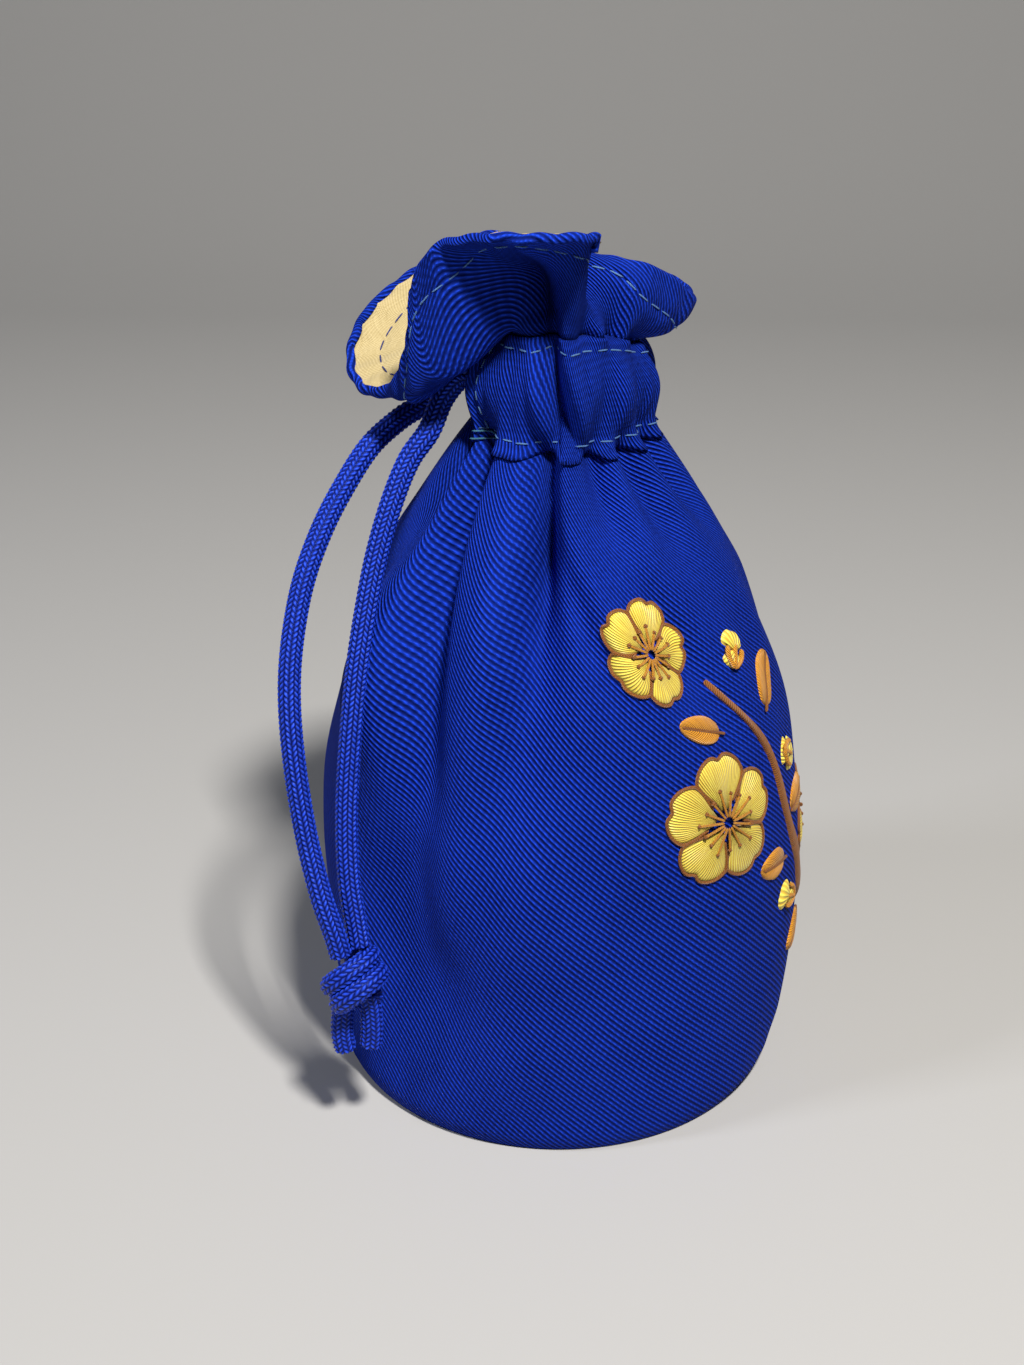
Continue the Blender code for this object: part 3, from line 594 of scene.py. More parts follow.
def ruffle_hollow(cloth, share):
    """Depth of the ruffle's hollows, each a bell across the cloth and up it."""
    total = 0.0 * share
    for azimuth, width, level, reach, depth in RUFFLE_DENTS:
        across = turn_between(cloth, azimuth) / width
        total = total + depth * MM * np.exp(-(across**2) - ((share - level) / reach) ** 2)
    return total * smoothstep(share / DENTS_START) * smoothstep((DENTS_END - share) / DENTS_FADE)


def ruffle_points(cloth, share, folded=1.0):
    """A cubic curve in each column from the neck's top to the rim: up first, then out, and
    where the ruffle bellies, out and a little down first, then up."""
    left = np.clip(1.0 - share, 0.0, 1.0)
    foot = neck_points(cloth, np.ones_like(share), folded * left**PLEAT_EASE)
    rim = rim_points(cloth + 0.0 * share)
    chord = rim - foot
    climb = np.maximum(chord[..., 2], 0.0)
    drop = np.minimum(chord[..., 2], 0.0)
    upright = climb / np.linalg.norm(chord, axis=-1)
    lower_reach = LOWER_REACH[0] + (LOWER_REACH[1] - LOWER_REACH[0]) * upright
    upper_reach = UPPER_REACH[0] + (UPPER_REACH[1] - UPPER_REACH[0]) * upright
    swing, sag = (part + 0.0 * share for part in belly(neck_azimuth(cloth)))
    lower = foot + chord * (lower_reach + BELLY_LOWER * swing)[..., None]
    lower[..., 2] = foot[..., 2] + LOWER_CLIMB * climb * (1.0 - swing) + LOWER_LIFT - sag
    upper = foot + chord * (upper_reach + BELLY_UPPER * swing)[..., None]
    upper_climb = UPPER_CLIMB - BELLY_CLIMB_LOSS * swing
    upper[..., 2] = foot[..., 2] + upper_climb * climb + UPPER_DROP * drop + UPPER_LIFT - sag
    t = share[..., None]
    inward = -unit(foot * (1.0, 1.0, 0.0)) * ruffle_hollow(cloth, share)[..., None]
    return inward + (
        foot * (1.0 - t) ** 3
        + 3.0 * lower * t * (1.0 - t) ** 2
        + 3.0 * upper * t**2 * (1.0 - t)
        + rim * t**3
    )


def flank_factor(lean):
    """How much longer a depth is when measured across a flank that leans."""
    return np.minimum(1.0 / np.maximum(np.abs(lean), LEAST_LEAN), STEEPEST_FLANK)


def profile_inward(cloth, height, place):
    """Into the body, square to its outline, and lengthened on the flank of a fold."""
    turn, step = SLOPE_TURN, SLOPE_STEP
    if place == "body":
        points = body_points
        slope = (body_radius(height + step * MM) - body_radius(height - step * MM)) / (2.0 * step * MM)
    else:
        points = neck_points
        rise = neck_top(neck_azimuth(cloth)) - NECK_HEIGHT
        slope = (neck_radius(height + step) - neck_radius(height - step)) / (2.0 * step * rise)
    radial = unit(points(cloth, height) * (1.0, 1.0, 0.0))
    across = unit((points(cloth + turn, height) - points(cloth - turn, height)) * (1.0, 1.0, 0.0))
    flank = flank_factor(np.linalg.norm(np.cross(across, radial), axis=-1))
    slope = slope * PROFILE_LEAN
    upright = 1.0 / np.hypot(1.0, slope)
    inward = -radial * (flank * upright)[..., None]
    inward[..., 2] = slope * upright
    return inward


def surface_normal(points, cloth, share, folded):
    """Cross product of the surface's two slopes, by small steps either way."""
    turn, rise = SLOPE_TURN, SLOPE_STEP
    across = points(cloth + turn, share, folded) - points(cloth - turn, share, folded)
    up = points(cloth, share + rise, folded) - points(cloth, share - rise, folded)
    return unit(np.cross(across, up))


def ruffle_inward(cloth, share):
    """Into the ruffle, from the neck's own direction to square to the cloth."""
    plain = surface_normal(ruffle_points, cloth, share, 0.0)
    pleated = surface_normal(ruffle_points, cloth, share, 1.0)
    inward = -plain * flank_factor((plain * pleated).sum(-1))[..., None]
    at_foot = profile_inward(cloth, np.ones_like(share), "neck")
    blend = smoothstep(share / RUFFLE_EASE)[..., None]
    return at_foot * (1.0 - blend) + inward * blend


def cloth_layer(columns, heights, depth):
    """Grid of points of one cloth surface, rows upwards, sunk by a depth under the outer one.

    In the ruffle the depth is taken square to the outer grid itself, a little more midway up."""
    rows = []
    for height in heights:
        level = np.full(len(columns), height)
        rows.append(body_points(columns, level) + depth * profile_inward(columns, level, "body"))
    for share in np.linspace(0.0, 1.0, NECK_STEPS + 1)[1:]:
        level = np.full(len(columns), share)
        rows.append(neck_points(columns, level) + depth * profile_inward(columns, level, "neck"))
    for share in np.linspace(0.0, 1.0, RUFFLE_STEPS + 1)[1:]:
        level = np.full(len(columns), share)
        rows.append(ruffle_points(columns, level) + depth * ruffle_inward(columns, level))
    grid = np.array(rows)
    if depth == 0.0:
        return grid
    outer = cloth_layer(columns, heights, 0.0)
    share = np.linspace(0.0, 1.0, RUFFLE_STEPS + 1)[1:]
    deeper = np.full(len(outer), depth)
    deeper[-RUFFLE_STEPS:] += LINING_EASE * np.sin(math.pi * share)
    square = outer - outward_normals(outer) * deeper[:, None, None]
    mixed = smoothstep(share / SQUARE_FROM)[:, None, None]
    grid[-RUFFLE_STEPS:] = grid[-RUFFLE_STEPS:] * (1.0 - mixed) + square[-RUFFLE_STEPS:] * mixed
    return grid


def outward_normals(grid):
    """Cross product of the grid's slopes round the pouch and up it."""
    over = np.roll(grid, -1, axis=1) - np.roll(grid, 1, axis=1)
    return unit(np.cross(over, np.gradient(grid, axis=0)))


def run_up(grid):
    """Distance up each column of a grid from its first row."""
    steps = np.linalg.norm(np.diff(grid, axis=0), axis=-1)
    return np.concatenate([np.zeros((1, grid.shape[1])), np.cumsum(steps, axis=0)])


# Meshes


def place_mesh(name, mesh, material):
    """A smooth mesh in one material, as an object at the origin."""
    mesh.shade_smooth()
    mesh.materials.append(material)
    placed = bpy.data.objects.new(name, mesh)
    bpy.context.collection.objects.link(placed)
    return placed


def quad_mesh(name, grid, uv=None, wrap=False, flip=False, layers=None, material=None):
    """One mesh object of a grid of points, rows by columns, joined round when it wraps.

    uv is in mm and has one column more than a grid that wraps. A layer is a value at each point."""
    rows, columns = grid.shape[:2]
    cells = columns if wrap else columns - 1
    row, column = np.meshgrid(np.arange(rows - 1), np.arange(cells), indexing="ij")
    corners = [(row, column), (row, column + 1), (row + 1, column + 1), (row + 1, column)]
    if flip:
        corners.reverse()
    rows_of = np.stack([corner[0] for corner in corners], axis=-1).ravel()
    columns_of = np.stack([corner[1] for corner in corners], axis=-1).ravel()
    mesh = bpy.data.meshes.new(name)
    mesh.vertices.add(rows * columns)
    mesh.vertices.foreach_set("co", grid.reshape(-1).astype(np.float32))
    count = row.size
    mesh.loops.add(4 * count)
    corner_points = rows_of * columns + columns_of % columns
    mesh.loops.foreach_set("vertex_index", corner_points.astype(np.int32))
    mesh.polygons.add(count)
    mesh.polygons.foreach_set("loop_start", np.arange(0, 4 * count, 4, dtype=np.int32))
    mesh.polygons.foreach_set("loop_total", np.full(count, 4, dtype=np.int32))
    if uv is not None:
        laid = mesh.uv_layers.new(name="UVMap")
        laid.data.foreach_set("uv", uv[rows_of, columns_of].reshape(-1).astype(np.float32))
    for key, values in (layers or {}).items():
        layer = mesh.attributes.new(key, "FLOAT", "POINT")
        layer.data.foreach_set("value", np.asarray(values, np.float32).reshape(-1))
    mesh.update()
    mesh.validate()
    return place_mesh(name, mesh, material)


def join_pieces(name, pieces):
    """One object of several, in place of them."""
    with bpy.context.temp_override(active_object=pieces[0], selected_editable_objects=pieces):
        bpy.ops.object.join()
    pieces[0].name = name
    pieces[0].data.name = name
    return pieces[0]


def dress(piece, slot, *nodes):
    """Rides the piece on the pouch, in place of the solids named."""
    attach(piece, "root")
    if nodes:
        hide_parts(*nodes)


def normals_along(points):
    """Two normals at each point of a path, turned no more than the path bends."""
    tangent = unit(np.gradient(points, axis=0))
    first = np.cross(tangent[0], (0.0, 1.0, 0.0))
    if np.linalg.norm(first) < 0.2:
        first = np.cross(tangent[0], (1.0, 0.0, 0.0))
    side = [first / np.linalg.norm(first)]
    for here in tangent[1:]:
        kept = side[-1] - here * np.dot(side[-1], here)
        side.append(kept / np.linalg.norm(kept))
    side = np.array(side)
    return side, np.cross(tangent, side)


def rings_along(points, radius, angle):
    """Rings about a path: radius times the cosine of the angle on one normal, the sine on the other."""
    side, other = normals_along(points)
    return (
        points[:, None, :]
        + side[:, None, :] * (radius * np.cos(angle)[None, :])[..., None]
        + other[:, None, :] * (radius * np.sin(angle)[None, :])[..., None]
    )


def braid_height(turn, along_mm):
    """Relief of a braid, 0 to 1: columns of short picks that lean in turn to either side."""
    column = turn * BRAID_COLUMNS
    which = np.floor(column)
    across = column - which - 0.5
    lean = np.where(which % 2.0 == 0.0, 1.0, -1.0)
    phase = along_mm / BRAID_PICK_MM + lean * across * BRAID_LEAN + 0.5 * (which % 2.0)
    crown = np.cos(math.pi * across) ** BRAID_CROWN
    return crown * (0.5 + 0.5 * np.cos(2.0 * math.pi * phase)) ** BRAID_GAP


def braided_tube(name, route, material, sides=72, step_mm=0.16, start_turn=0.0, closing=0.0):
    """A cord along a route in metres: its skin is lifted by the braid, and its far end rounds
    over on a quarter circle as long as the closing. The second value is the line it follows."""
    run = distance_along(route)
    count = int(run[-1] / MM / step_mm) + 1
    distance = np.linspace(0.0, run[-1], count)
    points = read_path(route, run, distance)
    turn = np.linspace(0.0, 1.0, sides, endpoint=False) + start_turn
    relief = braid_height(turn[None, :] % 1.0, distance[:, None] / MM)
    radius = CORD_DIAMETER / 2.0 + (relief - BRAID_MEAN) * BRAID_RELIEF
    if closing > 0.0:
        left = np.clip((run[-1] - distance) / closing, 0.0, 1.0)
        rounding = np.sqrt(1.0 - (1.0 - left) ** 2)
        radius = radius * np.maximum(rounding, LEAST_GIRTH)[:, None]
    grid = rings_along(points, radius, 2.0 * math.pi * turn)
    start, end = (np.repeat(points[tip, None, None], sides, axis=1) for tip in (0, -1))
    grid = np.concatenate([start, grid, end])
    relief = np.pad(relief, ((1, 1), (0, 0)))
    over = np.linspace(0.0, 1.0, sides + 1)[None, :] * math.pi * CORD_DIAMETER / MM
    up = np.concatenate([[0.0], distance, [run[-1]]])[:, None] / MM
    uv = np.stack(np.broadcast_arrays(over, up), axis=-1)
    made = quad_mesh(name, grid, uv, wrap=True, layers={"pick": relief}, material=material)
    return made, points


def loop_points():
    """The cord's round inside the casing, which flares out at both mouths."""
    azimuth = np.linspace(CASING_FRONT - LOOP_OVERRUN, CASING_BACK + LOOP_OVERRUN, LOOP_STEPS)
    top = neck_top(azimuth)
    height = NECK_HEIGHT + LOOP_LEVEL * (top - NECK_HEIGHT)
    return around(azimuth, CORD_LOOP_RADIUS + mouth_flare(azimuth), height)


def mouth_flare(azimuth):
    """Exponential flare of the tunnel towards each mouth."""
    front = np.exp((CASING_FRONT - azimuth) / MOUTH_WIDTH)
    back = np.exp((azimuth - CASING_BACK) / MOUTH_WIDTH)
    return MOUTH_FLARE * (front + back)


def band_seat(columns, level):
    """The cloth under the band, and how far the flank of a fold lengthens a depth there."""
    if level < 0.0:
        height = np.full(len(columns), NECK_HEIGHT + level * (NECK_TOP_HEIGHT - NECK_HEIGHT))
        return body_points(columns, height), profile_inward(columns, height, "body")
    share = np.full(len(columns), level)
    return neck_points(columns, share), profile_inward(columns, share, "neck")


def casing_ends():
    """The cloth azimuths of the band's front and back ends."""
    return float(cloth_azimuth(CASING_FRONT)), float(cloth_azimuth(CASING_BACK))


def casing_row(columns, row, depth):
    """The band's inner face plus a depth, at a share of its height."""
    azimuth = neck_azimuth(columns)
    pleat = fold_depth(columns, np.full_like(columns, NECK_TOP_HEIGHT), 1.0)
    ridge = 1.0 - np.clip(pleat / RIPPLE_DEPTH, 0.0, 1.0)
    seat, inward = band_seat(columns, CASING_LOW + (CASING_HIGH - CASING_LOW) * row)
    seat_radius = np.hypot(seat[:, 0], seat[:, 1])
    flank = np.linalg.norm(inward, axis=-1)
    bulge = max(math.sin(math.pi * min(max(row, 0.0), 1.0)), 0.0) ** TUNNEL_FULLNESS
    tunnel = TUNNEL_RADIUS + TUNNEL_PUFF * ridge + mouth_flare(azimuth)
    radius = (seat_radius + LAYER_GAP * flank) * (1.0 - bulge) + tunnel * bulge
    for centre, deep, wide, lean in BAND_FOLDS:
        across = (azimuth - centre + lean * (row - 0.5)) / wide
        beside = (np.abs(across) - SHOULDER_PLACE) / SHOULDER_WIDTH
        fold = np.exp(-(across**2)) - SHOULDER_SHARE * np.exp(-(beside**2))
        radius = radius - deep * MM * bulge * fold
    out = depth * (flank * (1.0 - bulge) + bulge)
    return around(azimuth, radius + out, seat[:, 2])


def stitches(name, centres, along, normals, length, width, material):
    """Threads between two needle holes each: short bars that dip into the cloth at both ends."""
    rings, sides = THREAD_RINGS, THREAD_SIDES
    place = np.linspace(-1.0, 1.0, rings)
    girth = np.sqrt(np.clip(1.0 - np.abs(place) ** 6, 0.05, 1.0))
    angle = np.linspace(0.0, 2.0 * math.pi, sides, endpoint=False)
    across = np.cross(normals, along)
    shift = (place * length / 2.0)[None, :, None, None]
    dip = -(place**4)[None, :, None] * width * THREAD_DIP
    out = dip + (girth[:, None] * np.sin(angle)[None, :])[None] * width * THREAD_FLATNESS
    over = (girth[:, None] * np.cos(angle)[None, :])[None] * width * 0.5
    grid = centres[:, None, None, :] + along[:, None, None, :] * shift
    grid = grid + normals[:, None, None, :] * out[..., None] + across[:, None, None, :] * over[..., None]
    count = len(centres)
    index = np.arange(count * rings * sides).reshape(count, rings, sides)
    beside = np.roll(index, -1, axis=2)
    quads = np.stack([index[:, :-1], beside[:, :-1], beside[:, 1:], index[:, 1:]], axis=-1)
    caps = np.concatenate([index[:, 0, ::-1], index[:, -1, :]]).tolist()
    mesh = bpy.data.meshes.new(name)
    mesh.from_pydata(grid.reshape(-1, 3), [], quads.reshape(-1, 4).tolist() + caps)
    laid = mesh.uv_layers.new(name="UVMap")
    around_thread = np.linspace(0.0, 3.0, sides)[None, :]
    down_thread = (place * length / MM / 2.0)[:, None]
    bar = np.stack(np.broadcast_arrays(around_thread, down_thread), axis=-1).reshape(-1, 2)
    loops = np.zeros(len(mesh.loops), np.int32)
    mesh.loops.foreach_get("vertex_index", loops)
    laid.data.foreach_set("uv", np.tile(bar, (count, 1))[loops].reshape(-1).astype(np.float32))
    return place_mesh(name, mesh, material)


def stitch_line(points, normals, length, gap):
    """Centres, directions and normals of the stitches along a line of close points."""
    run = distance_along(points)
    count = max(1, int(run[-1] / (length + gap)))
    pitch = run[-1] / count
    middle = (np.arange(count) + 0.5) * pitch
    here = read_path(points, run, middle)
    ahead = read_path(points, run, middle + length / 2.0)
    along = unit(ahead - read_path(points, run, middle - length / 2.0))
    normal = unit(read_path(normals, run, middle))
    normal = unit(normal - along * (normal * along).sum(-1)[:, None])
    return here, along, normal


# Materials


def fill(made, added, sockets):
    """Feeds sockets, by name or place, with values or with other nodes' outputs."""
    for key, value in sockets.items():
        if isinstance(value, bpy.types.NodeSocket):
            made.node_tree.links.new(value, added.inputs[key])
        else:
            added.inputs[key].default_value = value


def node(made, kind, *values, out=0, sockets=None, **settings):
    """One shader node with its settings: values feed its sockets in order, or sockets by name."""
    added = made.node_tree.nodes.new("ShaderNode" + kind)
    for key, value in settings.items():
        setattr(added, key, value)
    fill(made, added, dict(enumerate(values)))
    fill(made, added, sockets or {})
    return added.outputs[out]


def finish_named(name):
    """A new material with its shader."""
    made = bpy.data.materials.new(name)
    made.use_nodes = True
    return made


def coat(made, **finish):
    """Sets the shader's own sockets: each name has its spaces written as underscores."""
    shader = made.node_tree.nodes["Principled BSDF"]
    fill(made, shader, {key.replace("_", " "): value for key, value in finish.items()})


def ribs(made, place, spacing):
    """0 to 1 and back once in each spacing of a place: half of 1 plus the cosine."""
    turned = node(made, "Math", place, 2.0 * math.pi / spacing, operation="MULTIPLY")
    wave = node(made, "Math", turned, operation="COSINE")
    return node(made, "Math", wave, 0.5, 0.5, operation="MULTIPLY_ADD")


def place_on_cloth(made):
    """The two coordinates along and up the cloth, in mm."""
    along = node(made, "SeparateXYZ", node(made, "UVMap"))
    return along, along.node.outputs[1]


def twill_cloth(looks):
    """Piece-dyed cotton twill. Its diagonal ribs are painted as fine bright lines, a painted
    highlight on their crowns, each broken into staggered floats, with painted shade in the
    grooves between them, and worn places are a little paler. There is one rib each
    rib_spacing across the diagonal."""
    made = finish_named("royal_blue_cotton_twill")
    over, up = place_on_cloth(made)
    spacing = looks.rib_spacing / MM
    sum_of = node(made, "Math", over, up, operation="ADD")
    across = node(made, "Math", sum_of, DIAGONAL, operation="MULTIPLY")
    difference = node(made, "Math", over, up, operation="SUBTRACT")
    along = node(made, "Math", difference, DIAGONAL, operation="MULTIPLY")
    rib = ribs(made, across, spacing)
    counted = node(made, "Math", across, spacing, operation="DIVIDE")
    order = node(made, "Math", counted, operation="FLOOR")
    place = node(made, "Math", along, spacing * 1.5, operation="DIVIDE")
    stagger = node(made, "Math", order, 0.37, place, operation="MULTIPLY_ADD")
    broken = node(made, "Math", ribs(made, stagger, 1.0), 0.4, 0.6, operation="MULTIPLY_ADD")
    weave = node(made, "Math", rib, broken, operation="MULTIPLY")
    where = node(made, "TexCoord", out=3)
    yarn = node(made, "TexNoise", sockets={"Vector": where, "Scale": 900.0, "Detail": 3.0})
    worn = node(made, "TexNoise", sockets={"Vector": where, "Scale": 55.0, "Detail": 4.0})
    # Painted highlight on the rib crowns and painted shade in the grooves: this tone runs the colour
    # from the groove's painted shade to the crown's painted highlight
    crowns = node(made, "Math", weave, 1.5, operation="POWER")
    tone = node(made, "Math", crowns, 0.95, operation="MULTIPLY")
    tone = node(made, "Math", yarn, 0.24, tone, operation="MULTIPLY_ADD")
    patches = node(made, "Math", worn, 0.5, operation="SUBTRACT")
    tone = node(made, "Math", patches, 0.25, tone, operation="MULTIPLY_ADD")
    tones = {0: tone, 6: (*looks.twill_groove_shade, 1.0), 7: (*looks.twill_crown_highlight, 1.0)}
    colour = node(made, "Mix", out=2, sockets=tones, data_type="RGBA")
    fuzz = node(made, "Math", yarn, 0.5, weave, operation="MULTIPLY_ADD")
    relief = node(made, "Bump", sockets={"Height": fuzz, "Distance": 0.42 * MM})
    coat(
        made, Base_Color=colour, Roughness=0.82, Specular_IOR_Level=0.06, Sheen_Weight=0.02,
        Sheen_Roughness=0.45, Sheen_Tint=(*linear("#4F78FF"), 1.0), Normal=relief,
    )
    return made


def plain_cloth(looks):
    """Unbleached plain-woven cotton. Thick and thin yarns cross square, one in each
    LINING_YARN_MM, with warm flecks."""
    made = finish_named("natural_cotton_lining")
    over, up = place_on_cloth(made)
    waves = []
    for place in (over, up):
        turned = node(made, "Math", place, 2.0 * math.pi / LINING_YARN_MM, operation="MULTIPLY")
        waves.append(node(made, "Math", turned, operation="COSINE"))
    crossed = node(made, "Math", *waves, operation="MULTIPLY")
    check = node(made, "Math", crossed, 0.5, 0.5, operation="MULTIPLY_ADD")
    where = node(made, "UVMap")
    drawn_out = {"Vector": where, "Scale": (0.12, 2.2, 1.0)}
    stretched = node(made, "Mapping", sockets=drawn_out)
    slub = node(made, "TexNoise", sockets={"Vector": stretched, "Scale": 1.0, "Detail": 2.0})
    fine = node(made, "TexNoise", sockets={"Vector": where, "Scale": 1.6, "Detail": 3.0})
    tone = node(made, "Math", check, 0.42, 0.16, operation="MULTIPLY_ADD")
    thick = node(made, "Math", slub, 0.5, operation="SUBTRACT")
    tone = node(made, "Math", thick, 0.5, tone, operation="MULTIPLY_ADD")
    tone = node(made, "Math", fine, 0.35, tone, operation="MULTIPLY_ADD")
    tones = {0: tone, 6: (*looks.lining_dark, 1.0), 7: (*looks.lining_light, 1.0)}
    colour = node(made, "Mix", out=2, sockets=tones, data_type="RGBA")
    height = node(made, "Math", slub, 0.8, check, operation="MULTIPLY_ADD")
    relief = node(made, "Bump", sockets={"Height": height, "Distance": 0.08 * MM})
    coat(
        made, Base_Color=colour, Roughness=0.9, Specular_IOR_Level=0.25, Sheen_Weight=0.15,
        Normal=relief,
    )
    return made


def braid(looks):
    """Braided nylon: bright picks with a gloss on their crowns, their brightness a painted highlight,
    and navy between them that is painted shade.
    """
    made = finish_named("braided_nylon_cord")
    pick = node(made, "Attribute", out=2, attribute_name="pick")
    where = node(made, "TexCoord", out=3)
    fibre = node(made, "TexNoise", sockets={"Vector": where, "Scale": 700.0, "Detail": 2.0})
    # Painted highlight on the picks' crowns and painted shade in the navy ground between them
    crowns = node(made, "Math", pick, 1.6, operation="POWER")
    uneven = node(made, "Math", fibre, 1.1, 0.35, operation="MULTIPLY_ADD")
    tone = node(made, "Math", crowns, uneven, operation="MULTIPLY")
    tones = {0: tone, 6: (*looks.cord_ground_shade, 1.0), 7: (*looks.cord_pick_highlight, 1.0)}
    colour = node(made, "Mix", out=2, sockets=tones, data_type="RGBA")
    relief = node(made, "Bump", sockets={"Height": fibre, "Distance": 0.04 * MM})
    coat(
        made, Base_Color=colour, Roughness=0.40, Specular_IOR_Level=0.45,
        Specular_Tint=(*linear("#7C9BFF"), 1.0), Normal=relief,
    )
    return made


def thread(name, low, high, spacing=0.42, gloss=0.38):
    """Rayon thread laid in satin stitch: fine parallel threads, one each spacing in mm, that
    shine along their length, with painted shade in the darker colour between them."""
    made = finish_named(name)
    over, _ = place_on_cloth(made)
    strand = ribs(made, over, spacing)
    drawn_out = {"Vector": node(made, "UVMap"), "Scale": (2.2, 0.25, 1.0)}
    stretched = node(made, "Mapping", sockets=drawn_out)
    uneven = node(made, "TexNoise", sockets={"Vector": stretched, "Scale": 1.0, "Detail": 2.0})
    shade = node(made, "Math", uneven, 0.75, operation="MULTIPLY")
    # Painted shade between the strands: the colour falls from high to low in each gap
    tone = node(made, "Math", strand, 0.55, shade, operation="MULTIPLY_ADD")
    tones = {0: tone, 6: (*linear(low), 1.0), 7: (*linear(high), 1.0)}
    colour = node(made, "Mix", out=2, sockets=tones, data_type="RGBA")
    relief = node(made, "Bump", sockets={"Height": strand, "Distance": 0.22 * MM})
    coat(
        made, Base_Color=colour, Roughness=gloss, Specular_IOR_Level=0.45, Anisotropic=0.5,
        Sheen_Weight=0.1, Normal=relief,
    )
    return made


def studio_paper():
    """Matt pale paper of the studio floor."""
    made = finish_named("studio_paper")
    coat(made, Base_Color=(*linear("#AEAFB0"), 1.0), Roughness=0.95, Specular_IOR_Level=0.1)
    return made


# Cloth and its hem


def cloth_columns():
    """Azimuths of the cloth's columns, evenly round."""
    return np.linspace(-180.0, 180.0, COLUMNS, endpoint=False)


def cloth_uv(grid):
    """Along the cut cloth from its seam, and up it, in mm."""
    rise = run_up(grid) / MM
    rise = np.concatenate([rise, rise[:, :1]], axis=1)
    over = np.linspace(0.0, 2.0 * math.pi * BODY_RADIUS / MM, rise.shape[1])[None, :]
    return np.stack(np.broadcast_arrays(over, rise), axis=-1)


def hem_dent(grid, outward, looks, depth):
    """Pulls the cloth in along the stitched line under the rim, and puckers it there."""
    up = run_up(grid)
    below = up[-1][None, :] - up
    dent = np.exp(-(((below - looks.hem_inset) / HEM_DENT_WIDTH) ** 2)) * depth
    over = np.arange(grid.shape[1]) / grid.shape[1] * 2.0 * math.pi * PUCKERS
    swell = np.exp(-((below / PUCKER_REACH) ** 2)) * np.sin(over)[None, :] * PUCKER_SWING
    return grid + outward * (swell - dent)[..., None]


def rolled_hem(grid, outward):
    """Turns the outer cloth over the rim in a half circle, and down on to the lining."""
    climb = unit(grid[-1] - grid[-2])
    across = outward[-1]
    rows = []
    for step in range(1, ROLL_STEPS + 1):
        angle = math.pi * step / ROLL_STEPS
        turned = climb * math.sin(angle) - across * (1.0 - math.cos(angle))
        rows.append(grid[-1] + turned * HEM_ROLL)
    inner = grid[-1] - across * (2.0 * HEM_ROLL)
    rows.append(inner - climb * HEM_TUCK)
    rows.append(inner - climb * HEM_EDGE + across * HEM_EDGE)
    return np.concatenate([grid, np.array(rows)])


class PouchLooks(bpy.types.PropertyGroup):
    """Sizes and colours of the pouch's finish."""

    rib_spacing: bpy.props.FloatProperty(
        name="Rib spacing", description="Distance between two ribs of the twill",
        default=0.95 * MM, subtype="DISTANCE", unit="LENGTH", precision=5,
    )
    hem_inset: bpy.props.FloatProperty(
        name="Hem inset", description="From the rim to its stitched line",
        default=6.0 * MM, subtype="DISTANCE", unit="LENGTH", precision=5,
    )
    stitch_length: bpy.props.FloatProperty(
        name="Stitch length", description="Length of one machine stitch",
        default=2.7 * MM, subtype="DISTANCE", unit="LENGTH", precision=5,
    )
    stitch_gap: bpy.props.FloatProperty(
        name="Stitch gap", description="Cloth between two machine stitches",
        default=0.7 * MM, subtype="DISTANCE", unit="LENGTH", precision=5,
    )
    stitch_width: bpy.props.FloatProperty(
        name="Stitch width", description="Thickness of the sewing thread",
        default=0.30 * MM, subtype="DISTANCE", unit="LENGTH", precision=5,
    )
    # Twill colours: the crown colour is the twill's blue with a painted highlight, and the groove colour
    # is painted shade between the ribs
    twill_crown_highlight: bpy.props.FloatVectorProperty(
        name="Twill crown", description="Colour on the crowns of the twill's ribs",
        size=3, subtype="COLOR", default=linear("#1A44D8"),
    )
    twill_groove_shade: bpy.props.FloatVectorProperty(
        name="Twill groove", description="Colour between the twill's ribs",
        size=3, subtype="COLOR", default=linear("#01063C"),
    )
    lining_light: bpy.props.FloatVectorProperty(
        name="Lining yarn", description="Colour of the lining's yarns",
        size=3, subtype="COLOR", default=linear("#CDBE92"),
    )
    lining_dark: bpy.props.FloatVectorProperty(
        name="Lining gaps", description="Colour between the lining's yarns",
        size=3, subtype="COLOR", default=linear("#85723F"),
    )
    # Cord colours: the pick colour is a painted highlight, and the ground colour is painted shade
    # between the picks
    cord_pick_highlight: bpy.props.FloatVectorProperty(
        name="Cord pick", description="Colour of the picks on the cord's face",
        size=3, subtype="COLOR", default=linear("#2C55F6"),
    )
    cord_ground_shade: bpy.props.FloatVectorProperty(
        name="Cord ground", description="Colour between the cord's picks",
        size=3, subtype="COLOR", default=linear("#050A4E"),
    )


def looks_of(context):
    """The scene's sizes and colours."""
    return context.scene.pouch_looks


class POUCH_OT_camera(bpy.types.Operator):
    """Stand the camera where the photograph was taken from."""

    bl_idname = "pouch.camera"
    bl_label = "Camera"

    def execute(self, context):
        data = bpy.data.cameras.new("view")
        data.sensor_fit = "VERTICAL"
        data.sensor_height = SENSOR_MM
        data.lens = FOCAL_PIXELS / FRAME_PIXELS * SENSOR_MM
        placed = bpy.data.objects.new("view", data)
        placed.location = CAMERA_PLACE
        placed.rotation_euler = (math.radians(90.0 - CAMERA_DOWN), 0.0, math.radians(CAMERA_TURN))
        context.collection.objects.link(placed)
        context.scene.camera = placed
        return {"FINISHED"}


